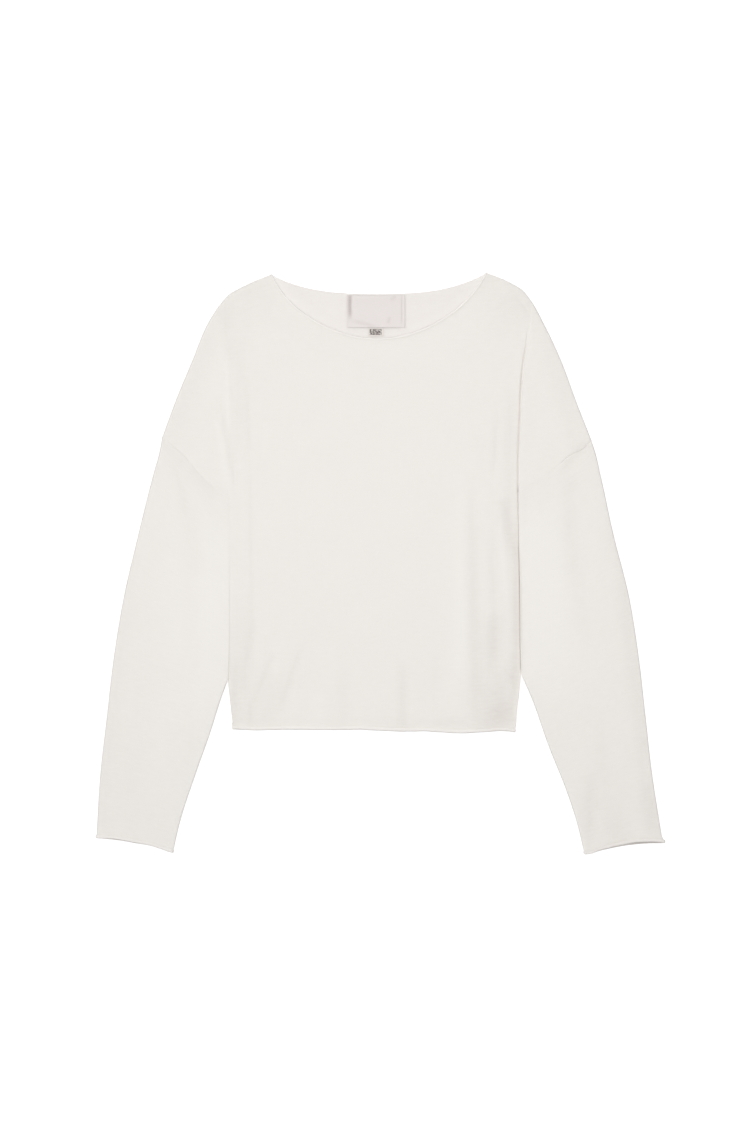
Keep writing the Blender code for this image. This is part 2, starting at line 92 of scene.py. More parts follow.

# What differs between the halves.
# side: (y, x) from hem to underarm. shoulder: (x, y) from the neck point to the armhole, with foldRow
# its row where the long fold starts. fold: (share of the way up from the underarm, x). foldDepth:
# (the same share, share of a full edge's drop). fall and raise: (y, how much lower the body and how
# much higher the sleeve lies beside it). foldWidth: its flanks, toward the body and the sleeve.
# sideGap: (y, air between body and sleeve below the underarm). bodyStraight and sleeveStraight: (y,
# share of the side's drop that is straight). closing and sideShade: (y, how much painted shade the
# body's and the sleeve's edge get there). innerLight: painted highlight on the sleeve's inner edge
# below them.
# seamSag and seamDip: (share of the armhole seam from the shoulder, how far it bows, or turns down).
# outer and inner: (y, x) of the sleeve. cuffBow and cuffPeep: (share across, how far the raw edge is
# drawn up, or the lower layer shows below the upper), from the outer corner. cuffFlare: how far the
# cuff's two corners stand out. cuffLight: painted highlight on its roll and on the strip above it.
# frontNeck and backNeck: depth, the square's share of its rise, and the other share's power.
# neckShine: painted highlight on the front's roll toward the neck point, and on the back right beside
# it.
leftHalf = {
    "sign": -1,
    "frontNeck": (0.0711, 0.80, 9.0),
    "backNeck": (0.0209, 0.35, 3.4),
    "neckShine": (0.55, 2.4),
    "side": ((-0.1900, -0.1678), (-0.1650, -0.1707), (-0.1324, -0.1738), (-0.0950, -0.1728),
             (0.0823, -0.1730)),
    "shoulder": ((-0.1239, 0.3313), (-0.1365, 0.3264), (-0.1463, 0.3223), (-0.1604, 0.3154),
                 (-0.1723, 0.3086), (-0.1799, 0.3007), (-0.1952, 0.2785), (-0.2147, 0.2331),
                 (-0.2336, 0.1874), (-0.2492, 0.1450)),
    "foldRow": 5,
    "fold": ((0.0, -0.1730), (0.08, -0.1694), (0.17, -0.1719), (0.27, -0.1763), (0.40, -0.1793),
             (0.54, -0.1793), (0.70, -0.1787), (0.83, -0.1795), (1.0, -0.1800)),
    "foldDepth": ((0.0, 0.0), (1.0, 0.0)),
    "fall": ((-0.19, 0.0009), (-0.125, 0.0008), (-0.09, 0.0001), (-0.05, 0.0), (0.30, 0.0)),
    "raise": ((-0.14, 0.0001), (-0.09, 0.0), (0.30, 0.0)),
    "foldWidth": (0.0034, 0.0044),
    "sideGap": ((-0.136, 0.00015), (-0.130, 0.00005), (-0.085, 0.00004), (-0.05, 0.00003),
                (0.0823, 0.00003)),
    "sideRadius": 0.0018,
    "bodyStraight": ((-0.136, 0.1), (-0.1325, 0.85), (-0.122, 1.0), (-0.09, 1.0), (0.0823, 1.0)),
    "sleeveStraight": ((-0.136, 0.1), (-0.1325, 0.85), (-0.122, 1.0), (-0.09, 1.0), (0.0823, 1.0)),
    "seamDip": ((0.0, 0.00006), (0.12, 0.00022), (0.28, 0.00016), (0.45, 0.00004), (1.0, 0.0)),
    "seamWidth": 0.0050,
    "underarm": (-0.1730, 0.0823),
    "seamSag": ((0.0, 0.0), (0.38, 0.0008), (0.65, 0.0060), (0.88, 0.0048), (1.0, 0.0)),
    "cuff": (-0.3125, -0.3285),
    "cuffBow": ((0.0, 0.0), (0.18, 0.0020), (0.52, 0.0027), (0.72, 0.0026), (0.86, 0.0009),
                (1.0, -0.0006)),
    "cuffPeep": ((0.0, 0.0), (0.15, 0.0008), (0.50, 0.0011), (0.85, 0.0006), (1.0, 0.0)),
    "cuffFlare": (-0.0004, -0.0006),
    "cuffLight": (0.1, 0.7),
    "sideShade": ((-0.136, 0.0), (0.0823, 0.0)),
    "closing": ((-0.136, 0.0), (-0.08, 0.1), (-0.03, 0.8), (0.0823, 0.8)),
    "innerLight": 0.9,
    "outer": ((0.1450, -0.2492), (0.1303, -0.2518), (0.1017, -0.2596), (0.0331, -0.2767),
              (-0.0354, -0.2926), (-0.1040, -0.3041), (-0.1726, -0.3122), (-0.2412, -0.3199),
              (-0.3125, -0.3242)),
    "inner": ((-0.1324, -0.1742), (-0.1554, -0.1824), (-0.1897, -0.1932), (-0.2412, -0.2113),
              (-0.2926, -0.2282), (-0.3285, -0.2365)),
}
rightHalf = {
    "sign": 1,
    "frontNeck": (0.0711, 0.84, 9.0),
    "backNeck": (0.0209, 0.35, 3.4),
    "neckShine": (1.2, 1.7),
    "side": ((-0.1930, 0.1532), (-0.1650, 0.1567), (-0.1252, 0.1605), (-0.0926, 0.1598),
             (-0.0469, 0.1594), (-0.0011, 0.1587), (0.0446, 0.1578), (0.0823, 0.1573)),
    "shoulder": ((0.1203, 0.3332), (0.1413, 0.3252), (0.1521, 0.3197), (0.1622, 0.3133),
                 (0.1675, 0.3074), (0.1726, 0.3005), (0.1866, 0.2750), (0.2062, 0.2331),
                 (0.2231, 0.1874), (0.2409, 0.1417)),
    "foldRow": 5,
    "fold": ((0.0, 0.1573), (0.18, 0.1577), (0.40, 0.1603), (0.54, 0.1620), (0.67, 0.1647),
             (0.78, 0.1690), (1.0, 0.1737)),
    "foldDepth": ((0.0, 0.95), (0.04, 0.71), (0.20, 0.74), (0.50, 0.78), (0.66, 0.72), (0.78, 0.46),
                  (0.86, 0.08), (0.93, 0.0), (1.0, 0.0)),
    "fall": ((-0.19, 0.0022), (-0.10, 0.0019), (0.08, 0.0014), (0.20, 0.0011), (0.28, 0.0004),
             (0.31, 0.0)),
    "raise": ((-0.13, 0.0004), (0.08, 0.0006), (0.20, 0.0006), (0.28, 0.0003), (0.31, 0.0)),
    "foldWidth": (0.0024, 0.0014),
    "sideGap": ((-0.136, 0.0002), (-0.10, 0.00006), (0.0823, 0.00005)),
    "sideRadius": 0.0030,
    "bodyStraight": ((-0.136, 0.0), (0.0823, 0.0)),
    "sleeveStraight": ((-0.136, 0.0), (-0.122, 0.50), (-0.10, 0.85), (0.0823, 0.85)),
    "seamDip": ((0.0, 0.0008), (0.20, 0.0007), (0.35, 0.0006), (0.46, 0.0003), (0.60, 0.00004),
                (1.0, 0.0)),
    "seamWidth": 0.0030,
    "underarm": (0.1573, 0.0823),
    "seamSag": ((0.0, 0.0), (0.13, 0.0030), (0.27, 0.0002), (0.45, 0.0010), (1.0, 0.0)),
    "cuff": (-0.3140, -0.3300),
    "cuffBow": ((0.0, -0.0045), (0.10, -0.0024), (0.24, -0.0001), (0.45, 0.0013), (0.65, 0.0012),
                (0.85, -0.0003), (0.93, -0.0017), (1.0, -0.0008)),
    "cuffPeep": ((0.0, 0.0003), (0.05, 0.0016), (0.15, 0.0023), (0.45, 0.0022), (0.65, 0.0013),
                 (0.88, 0.0006), (1.0, 0.0)),
    "cuffFlare": (0.0022, -0.0004),
    "cuffLight": (-0.1, 0.1),
    "sideShade": ((-0.136, 1.0), (-0.10, 1.0), (-0.0011, 1.1), (0.03, 0.5), (0.0823, 0.3)),
    "closing": ((-0.136, 1.6), (-0.10, 1.45), (-0.0011, 1.45), (0.03, 1.05), (0.0823, 1.0)),
    "innerLight": 0.3,
    "outer": ((0.1417, 0.2409), (0.1303, 0.2448), (0.1017, 0.2516), (0.0331, 0.2666),
              (-0.0354, 0.2838), (-0.1040, 0.2949), (-0.1726, 0.3028), (-0.2412, 0.3106),
              (-0.3140, 0.3219)),
    "inner": ((-0.1252, 0.1606), (-0.1554, 0.1735), (-0.2069, 0.1917), (-0.2583, 0.2122),
              (-0.2926, 0.2236), (-0.3300, 0.2328)),
}

# The hem's own line, (x, y): it dips and rises a little toward the right.
hemLine = ((-0.1675, -0.1883), (-0.1560, -0.1887), (-0.1445, -0.1894), (-0.1330, -0.1893),
           (-0.1216, -0.1887), (-0.0873, -0.1886), (-0.0530, -0.1891), (-0.0256, -0.1885),
           (-0.0073, -0.1893), (0.0098, -0.1902), (0.0384, -0.1906), (0.0498, -0.1904),
           (0.0727, -0.1920), (0.0841, -0.1926), (0.1070, -0.1921), (0.1250, -0.1909),
           (0.1367, -0.1902), (0.1458, -0.1907), (0.1538, -0.1916))

ripples = {"seed": 7, "count": 22, "shortest": 0.022, "longest": 0.085, "height": 0.000035}


# curves and heights
def readTable(table, at):  # smooth curve through rows of (place, value)
    places, values = np.array(sorted(table), float).T
    slopes = np.gradient(values, places)
    at = np.clip(at, places[0], places[-1])
    row = np.clip(np.searchsorted(places, at) - 1, 0, len(places) - 2)
    span = places[row + 1] - places[row]
    t = (at - places[row]) / span
    return (
        (1 + 2 * t) * (1 - t) ** 2 * values[row]
        + t * (1 - t) ** 2 * span * slopes[row]
        + t * t * (3 - 2 * t) * values[row + 1]
        + t * t * (t - 1) * span * slopes[row + 1]
    )


def ease(t):
    t = np.clip(t, 0.0, 1.0)
    return t * t * (3 - 2 * t)


def fading(away, width):  # 1 at the edge and 0 from the width on
    return 1 - ease(away / width)


def apart(a, b):
    return np.linalg.norm(a - b, axis=-1)


def unit(vectors):
    return vectors / np.linalg.norm(vectors, axis=-1, keepdims=True)


def xy(points):
    return points[..., 0], points[..., 1]


def alongLine(points):  # how far along a line each of its points is
    return np.concatenate([[0], np.cumsum(apart(points[1:], points[:-1]))])


def roundOver(t):  # 0 at the flat end, 1 at the seam, as a quarter circle falls
    return 1 - np.sqrt(1 - np.clip(t, 0.0, 1.0) ** 2)


def creaseHeight(x, y, creases):
    total = np.zeros(np.broadcast(x, y).shape)
    for x0, y0, x1, y1, width, height in np.array(creases) * 0.001:
        runX, runY = x1 - x0, y1 - y0
        share = np.clip(((x - x0) * runX + (y - y0) * runY) / (runX**2 + runY**2), 0, 1)
        away = (x - x0 - share * runX) ** 2 + (y - y0 - share * runY) ** 2
        total += height * np.exp(-away / width**2) * (1 - np.abs(2 * share - 1) ** 3)
    return total


def paintedLight(x, y, creases):  # painted shade below zero in troughs and painted highlight above zero on ridges, for the knit's colour
    narrow = [crease for crease in creases if crease[4] < shading["widest"]]
    return np.clip(creaseHeight(x, y, narrow) / shading["height"], *shading["range"])


def foldHeight(x, y):  # the body falls toward the long fold, and the sleeve rises from it
    total = np.zeros(np.broadcast(x, y).shape)
    for half in (leftHalf, rightHalf):
        foot = half["underarm"][1]
        up = (y - foot) / (half["shoulder"][half["foldRow"]][1] - foot)
        side = readTable(half["side"], np.minimum(y, foot))
        foldX = np.where(up > 0, readTable(half["fold"], up), side)
        out = (x - foldX) * half["sign"]
        fall = -readTable(half["fall"], y) * np.exp(-((out / lay["fallWidth"]) ** 2))
        rise = readTable(half["raise"], y) * np.exp(-((out / lay["raiseWidth"]) ** 2))
        total += np.where(out < 0, fall, rise)
    return total


def rippleHeight(x, y):
    draw = np.random.default_rng(ripples["seed"])
    total = np.zeros(np.broadcast(x, y).shape)
    for _ in range(ripples["count"]):
        turn, phase = draw.uniform(0, 2 * math.pi, 2)
        pace = 2 * math.pi / draw.uniform(ripples["shortest"], ripples["longest"])
        total += ripples["height"] * np.sin(pace * (x * math.cos(turn) + y * math.sin(turn)) + phase)
    return total


def liftOver(distance):  # the underside rises over its own roll beside a raw edge
    return lay["rollHeight"] * fading(distance - lay["rollReach"], lay["liftWidth"])


def shoulderEdge(half, distance):  # places on the shoulder edge, and ways out of the garment
    points = np.array(half["shoulder"])
    tables = [list(zip(alongLine(points), points[:, k])) for k in (0, 1)]
    before, here, after = [  # it runs as it does over 2 mm to either side
        np.stack([readTable(table, distance + shift) for table in tables], -1)
        for shift in (-0.002, 0, 0.002)
    ]
    along = unit(after - before)
    return here, half["sign"] * np.stack([-along[..., 1], along[..., 0]], -1)


def growing(share, length, distance):  # from a share at the neck point to 1 at some length from it
    return share + (1 - share) * ease(np.asarray(distance) / length)


def shoulderRound(distance):  # how far in from its fold the shoulder starts to round over
    return lay["edgeRadius"] * growing(*lay["pointRound"], distance)


def neckWidth(fromTip):  # inside of the neckline's roll, which runs out toward the neck points
    return lay["neckRadius"] * growing(*lay["neckTaper"], fromTip)


def neckEdge(half, neck, count):  # from centre to neck point: places, and ways into the opening
    depth, square, power = half[neck]
    place, out = shoulderEdge(half, 0.0)
    endX, endY = place - out * shoulderRound(0.0)
    low = (leftHalf["shoulder"][0][1] + rightHalf["shoulder"][0][1]) / 2 - lay["edgeRadius"] - depth
    t = np.linspace(0, 1, lay["neckSteps"])
    x = lay["neckCentre"] + (endX - lay["neckCentre"]) * t
    y = low + (endY - low) * (square * t**2 + (1 - square) * t**power)
    run = alongLine(np.stack([x, y], 1))
    even = np.linspace(0, run[-1], count + 1)
    x, y = np.interp(even, run, x), np.interp(even, run, y)
    along = np.gradient(np.stack([x, y], 1), axis=0)
    along[0] = (half["sign"], 0)
    into = unit(np.stack([-half["sign"] * along[:, 1], half["sign"] * along[:, 0]], 1))
    atEnd = -half["sign"] * np.array((out[1], -out[0]))
    near = fading(run[-1] - even, lay["neckTurn"])[:, None]
    return np.stack([x, y], 1), unit(into * (1 - near) + atEnd * near)


backNeckPlaces, frontNeckPlaces = [
    np.concatenate([neckEdge(half, neck, 50)[0] for half in (leftHalf, rightHalf)])
    for neck in ("backNeck", "frontNeck")
]


def edgeDistance(places, x, y):  # how far from a line of places
    nearest = np.full(np.broadcast(x, y).shape, 1.0)
    for placeX, placeY in places:
        nearest = np.minimum(nearest, (x - placeX) ** 2 + (y - placeY) ** 2)
    return np.sqrt(nearest)


def panelUnder(x, y):  # height of the underside of the body
    fromNeck = edgeDistance(backNeckPlaces, x, y)
    return np.maximum(liftOver(y - readTable(hemLine, x)), liftOver(fromNeck))


def topHeight(x, y, under, swell):
    least = under + 2 * lay["wall"] + lay["leastAir"]
    width, share = lay["neckSettle"]
    settle = fading(edgeDistance(frontNeckPlaces, x, y), width)
    free = np.maximum(lay["layersHeight"] + swell + foldHeight(x, y) + rippleHeight(x, y), least)
    return free + (least - free) * settle * share


def armholeSeam(half, share):  # places from shoulder (0) to underarm (1), and the way to the sleeve
    start, end = np.array(half["shoulder"][-1]), np.array(half["underarm"])
    dx, dy = unit(end - start)
    toSleeve = half["sign"] * np.array((-dy, dx))
    share = np.asarray(share)[..., None]
    return start * (1 - share) + end * share + toSleeve * readTable(half["seamSag"], share), toSleeve


# patches of points that are joined into one mesh
def addZ(places, z):
    return np.concatenate([places, np.asarray(z)[..., None]], -1)


def makePiece(bm, name, materials):
    mesh = bpy.data.meshes.new(name)
    bm.to_mesh(mesh)
    bm.free()
    mesh.shade_smooth()
    for material in materials:
        mesh.materials.append(material)
    piece = bpy.data.objects.new(name, mesh)
    scene.collection.objects.link(piece)
    return piece


def weave(name, patches, faceUp, materials):
    # A patch is (points, knit places and painted light and shade), rows by columns.
    # Points that fall together join.
    points = np.concatenate([p.reshape(-1, 3) for p, _ in patches])
    knit = np.concatenate([k.reshape(-1, 3) for _, k in patches])
    quads, start = [], 0
    for p, _ in patches:
        rows, columns = p.shape[:2]
        ids = start + np.arange(rows * columns).reshape(rows, columns)
        corners = (ids[:-1, :-1], ids[:-1, 1:], ids[1:, 1:], ids[1:, :-1])
        quads.append(np.stack(corners, -1).reshape(-1, 4))
        start += rows * columns
    quads = np.concatenate(quads)
    rounded = np.round(points * 1e7)  # to a tenth of a micrometre
    _, first, same = np.unique(rounded, axis=0, return_index=True, return_inverse=True)
    same = same.reshape(-1)
    shift = np.array((*lay["origin"], 0.0))
    bm = bmesh.new()
    places = bm.loops.layers.uv.new("knit")
    # painted light and shade for the colour, kept on each point
    tint = bm.verts.layers.float.new("paintedLight")
    verts = [bm.verts.new(point) for point in points[first] - shift]
    for vert, k in zip(verts, first):
        vert[tint] = knit[k, 2]
    for quad in quads:
        corners = [(same[k], k) for k in quad]
        kept = [c for n, c in enumerate(corners) if c[0] != corners[n - 1][0]]
        if len({c[0] for c in kept}) < 3:
            continue
        face = bm.faces.new([verts[c[0]] for c in kept])
        for loop, (_, k) in zip(face.loops, kept):
            loop[places].uv = knit[k, :2]
    bmesh.ops.recalc_face_normals(bm, faces=bm.faces)
    widest = max(bm.faces, key=lambda face: abs(face.normal.z) * face.calc_area())
    wanted = widest.calc_center_median().z > lay["seamHeight"] if faceUp is None else faceUp
    if (widest.normal.z > 0) != wanted:
        bmesh.ops.reverse_faces(bm, faces=bm.faces)
    return makePiece(bm, name, materials)


def growWall(piece, thickness):  # inward, with the last material inside
    wall = piece.modifiers.new("wall", "SOLIDIFY")
    wall.thickness = thickness
    wall.offset = -1.0
    wall.material_offset = len(piece.data.materials) - 1
    bpy.context.view_layer.objects.active = piece
    bpy.ops.object.modifier_apply(modifier="wall")
    piece.data.set_sharp_from_angle(angle=math.radians(lay["sharpAngle"]))


def rollPatch(points, out, up, knit, seed, light, width=lay["rollRadius"]):
    # A raw edge rolls over onto the outer side, a little tighter here and looser there.
    # light: painted highlight that grows over the roll's first steps
    steps, count = lay["rollSteps"], len(points)
    draw = np.random.default_rng(seed)
    along = np.linspace(0, 1, count)
    loose = sum(np.sin(2 * math.pi * (along * k + draw.uniform())) for k in (2, 5, 9)) / 3
    byWidth, byTurn = lay["rollLoose"]
    radius = ((1 + byWidth * loose) * width)[:, None]
    end = lay["rollEnd"] + byTurn * loose
    rows, places = [points], [knit]
    for step in range(1, steps + 1):
        turned = (end + 90) * step / steps
        t = np.radians(turned - 90)[:, None]
        rows.append(points + radius * (out * np.cos(t) + up * lay["rollFlat"] * (1 + np.sin(t))))
        arc = np.radians(turned) * radius[:, 0]
        places.append(knit - np.stack([0 * arc, arc, 0 * arc - light * min(step / 4, 1)], -1))
    return np.stack(rows), np.stack(places)


# front and back

# Soft ridges and troughs, in millimetres: from one end to the other, width to either side, and
# height, which is below zero in a trough. A row with no note is more of the one above it.
# Narrow ones also give the knit painted shade in their troughs and painted highlight on their ridges.
frontCreases = (
    (-0.5, 210.3, -0.5, -109.7, 120.0, 0.90),  # crown of the chest
    (103.6, 105.0, 111.2, -193.6, 7.9, -1.07),  # flutes down the right side
    (134.3, 180.4, 130.0, 99.3, 3.4, -0.58),
    (127.3, 40.8, 134.1, -123.5, 4.2, -0.44),
    (141.7, 79.5, 155.4, -0.1, 7.1, -1.20),
    (154.5, 24.2, 154.5, -194.4, 4.2, -0.90),
    (133.3, -112.8, 143.1, -258.5, 25.2, -1.24),
    (119.8, 24.3, 120.3, -140.3, 2.9, 0.20),  # ridge between them
    (-148.1, 126.7, -145.2, -103.5, 2.8, -0.41),  # flute down the left side
    (-158.1, -31.9, -160.9, -222.6, 14.3, -0.50),
    (-144.9, -58.4, -156.9, -148.8, 5.4, -0.49),
    (-165.2, -101.4, -166.0, -211.2, 5.2, -0.61),
    (-119.6, -97.8, -150.7, -170.1, 4.1, -0.47),  # short troughs above the hem
    (-88.0, -88.0, -115.0, -170.0, 4.8, -0.65),
    (-43.3, -112.9, -43.4, -198.6, 7.0, -0.31),
    (25.9, -106.1, 27.9, -207.0, 6.3, -0.75),
    (64.0, -95.4, 60.0, -161.0, 4.8, -0.21),
    (-70.9, -139.1, -70.4, -190.6, 9.8, 0.24),
    (56.7, -183.0, 102.4, -178.4, 5.0, -0.35),
    (-111.3, -83.2, -127.8, -162.6, 5.0, 0.19),  # ridge between two of them
    (-178.3, 298.4, -169.3, 226.8, 5.9, -0.57),  # hollow below the left shoulder
    (-175.5, 243.1, -173.0, 145.1, 2.8, 0.47),  # middle fold on the left
    (-160.2, 282.6, -162.1, 111.1, 9.2, -0.39),  # its hollow
    (-151.8, 211.9, -148.9, 121.8, 2.8, -0.54),  # short sharp line beside it
    (-184.4, 179.1, -169.7, 67.8, 5.2, 0.47),  # lower fold on the left
    (-182.5, 182.7, -163.5, 79.9, 4.0, -0.65),  # its hollow
    (171.9, 283.9, 151.7, 309.8, 3.2, -0.32),  # creases at the right shoulder
    (161.8, 310.0, 132.1, 291.1, 2.9, -0.22),
    (-128.5, 338.0, -183.9, 274.5, 29.4, -0.50),  # along the shoulders
    (121.8, 353.6, 175.0, 266.5, 45.0, -0.55),
    (-183.9, 295.7, -246.4, 120.2, 16.6, -0.38),  # along the caps
    (179.5, 308.3, 240.3, 106.8, 13.9, -0.49),
    (-171.7, -193.0, 155.6, -188.0, 10.5, -0.50),  # above the hem
    (130.0, -53.8, 127.5, -126.7, 9.4, -1.08),  # flute low on the right
    (149.0, 210.0, 150.0, 50.0, 8.5, -0.50),  # hollow beside the right fold
    (103.3, 118.2, 91.1, -177.5, 16.1, 0.49),  # ridge left of the right flutes
    (135.7, 64.2, 145.8, -52.2, 3.4, 0.50),  # ridge between two flutes
    (-120.9, -118.7, -133.4, -199.0, 14.8, -0.56),  # low left
    (-174.5, 270.0, -193.6, 176.0, 11.3, 0.23),  # upper left cap
    (240.7, 142.6, 205.1, 104.0, 5.0, -0.85),  # along the right armhole
    (-248.7, 137.5, -217.8, 116.3, 4.1, -0.26),  # along the left armhole
    (155.0, 65.0, 158.0, -150.0, 2.4, -0.55),  # beside the right fold
    (-172.2, -142.0, -169.0, -195.0, 2.8, -0.62),  # down the left corner of the hem
    (-148.0, -155.0, -148.0, -192.0, 5.0, -0.60),  # above that corner
    (118.0, -172.0, 154.0, -168.0, 11.0, -0.60),  # above the right corner of the hem
    (157.5, -140.0, 155.0, -195.0, 3.0, 0.60),  # down the right corner
    (150.0, -100.0, 152.0, -140.0, 6.0, -0.45),  # beside the right opening
)

# The same for the undersides of body and sleeves, where a hollow lifts off the floor and gets painted
# shade.
backCreases = (
    (-130.0, 160.0, -118.0, -90.0, 12.0, 0.45),  # down the left of the back
    (-70.0, -60.0, -85.0, -172.0, 9.0, 0.35),  # above the hem
    (15.0, -95.0, 23.0, -168.0, 7.0, 0.30),
    (90.0, 120.0, 108.0, -150.0, 11.0, 0.50),  # down the right of the back
    (128.0, 70.0, 133.0, -60.0, 6.0, 0.35),
    (-150.0, 230.0, -142.0, 130.0, 7.0, 0.40),  # below the shoulders
    (150.0, 240.0, 138.0, 150.0, 8.0, 0.40),
    (-225.0, 70.0, -235.0, -90.0, 10.0, 0.45),  # down the left sleeve
    (-262.0, -130.0, -275.0, -260.0, 12.0, 0.35),
    (213.0, 75.0, 223.0, -60.0, 9.0, 0.50),  # down the right sleeve
    (248.0, -110.0, 265.0, -250.0, 11.0, 0.40),
)

# rollLight: painted highlight on the hem's roll, on the strip above the hem, and on the neckline's
# roll
frontPanel = {"name": "frontPanel", "node": "front_panel", "up": 1, "neck": "frontNeck",
              "neckColumns": 46, "yokeColumns": 19, "capColumns": 34, "bodyRows": 100, "yokeRows": 88,
              "rollLight": (0.6, 1.1, 0.9), "flat": (0.491, 0.525), "area": 0.182}
backPanel = {"name": "backPanel", "node": "back_panel", "up": -1, "neck": "backNeck",
             "neckColumns": 38, "yokeColumns": 15, "capColumns": 26, "bodyRows": 80, "yokeRows": 72,
             "rollLight": (0.0, 0.0, 0.0), "flat": (0.491, 0.525), "area": 0.191}
edgeSteps = 8  # columns round a folded edge


def rimHeight(panel, under):  # where front and back meet
    return lay["seamHeight"] + under / 2 + panel["up"] * lay["seamGap"] / 2


def panelHeight(panel, x, y, drop):
    under = panelUnder(x, y)
    if panel["up"] > 0:
        flat = topHeight(x, y, under, creaseHeight(x, y, frontCreases))
    else:
        flat = under + creaseHeight(x, y, backCreases)
    return flat * (1 - drop) + rimHeight(panel, under) * drop


def straightShare(table, y):  # of the side's drop, where body and sleeve meet
    return np.clip(readTable(table, y), 0, 1)


def neckShine(x, y, which):  # painted highlight toward the neck points. 0: on the front's roll, 1: on the back beside it
    total = 0
    for half in (leftHalf, rightHalf):
        away = np.hypot(x - half["shoulder"][0][0], y - half["shoulder"][0][1])
        total += half["neckShine"][which] * fading(away, shading["neckPoint"])
    return total


def knitPlaces(panel, points, drop=0):  # the knit runs straight up the panel, and its third value is painted light and shade
    x, y = xy(points)
    if panel["up"] > 0:
        # painted shade in troughs and painted highlight on ridges
        tint = paintedLight(x, y, frontCreases)
        # painted highlight on the strip above the hem
        tint += panel["rollLight"][1] * fading(y - readTable(hemLine, x), shading["hemBand"])
    else:
        fromNeck = edgeDistance(frontNeckPlaces, x, y)
        # painted highlight beside the front's neckline and toward the neck points, painted shade
        # where the back lifts
        much, wide = shading["backBand"]
        tint = much * fading(fromNeck, wide) - creaseHeight(x, y, backCreases) / shading["height"]
        tint += neckShine(x, y, 1) * fading(fromNeck, shading["neckLine"])
    # painted shade where a fold closes on itself
    return addZ(points[..., :2], tint - shading["shut"] * np.maximum(drop, 0))


def capShares(panel):  # columns of the cap, closest beside the long fold and at the armhole
    spread = np.linspace(0, 1, panel["capColumns"] + 1)[1:-1]
    return np.concatenate([spread**1.5 * 0.972, [0.982, 0.992, 1.0]])


def panelEnds(panel, half):  # where each column ends: inset place, outline place, way out
    neck, into = neckEdge(half, panel["neck"], panel["neckColumns"])
    tip, shares = neck[-1], capShares(panel)
    run = alongLine(np.array(half["shoulder"]))
    foldAt, length = run[half["foldRow"]], run[-1]
    width = half["foldWidth"][0]
    yoke = np.linspace(lay["wall"] + neckWidth(0), foldAt - width, panel["yokeColumns"] + 1)
    groove = np.linspace(foldAt - width, foldAt, edgeSteps + 1)[1:]
    cap = foldAt + (length - foldAt) * shares
    run = np.concatenate([yoke, groove, cap])
    places, out = shoulderEdge(half, run)
    seamway = unit(np.array(half["shoulder"][-1]) - half["underarm"])
    bend = np.concatenate([np.zeros(len(places) - len(cap)), shares])[:, None]
    out = unit(out * (1 - bend) + seamway * bend)
    neck, ways = neck[:-1], into[:-1]
    reach = lay["wall"] + neckWidth(apart(neck, tip))[:, None]
    inset = np.concatenate([neck - ways * reach, places - out * shoulderRound(run)[:, None]])
    return inset, np.concatenate([neck, places]), np.concatenate([ways, out]), into


def turning(panel, count, way, turns):  # the knit's outer side along an edge, upright at first
    sides = np.concatenate([np.zeros(count), np.sin(turns)])
    ups = np.concatenate([np.ones(count), np.cos(turns)]) * panel["up"]
    return unit(np.stack([way[0] * sides, way[1] * sides, ups], -1))


def hemRoll(panel, half, line, turns):
    up = turning(panel, len(line) - len(turns), (half["sign"], 0), turns)
    out = np.broadcast_to((0.0, -1.0, 0.0), up.shape)
    return rollPatch(line, out, up, knitPlaces(panel, line), 3 + half["sign"], panel["rollLight"][0])


def neckRoll(panel, half, line, into, shoulderWay, turns):
    up = turning(panel, len(line) - len(turns), shoulderWay, turns)
    out = np.concatenate([into, np.repeat(into[-1:], len(turns), 0)])
    knit = knitPlaces(panel, line) * (1, -1, 1)
    # painted highlight on the neckline's roll, more toward the neck points
    light = panel["rollLight"][2] * (1 + neckShine(*xy(line), 0))
    width = neckWidth(apart(line[:, :2], line[-1, :2]))
    return rollPatch(line, addZ(out, np.zeros(len(out))), up, knit, 8 + half["sign"], light, width)


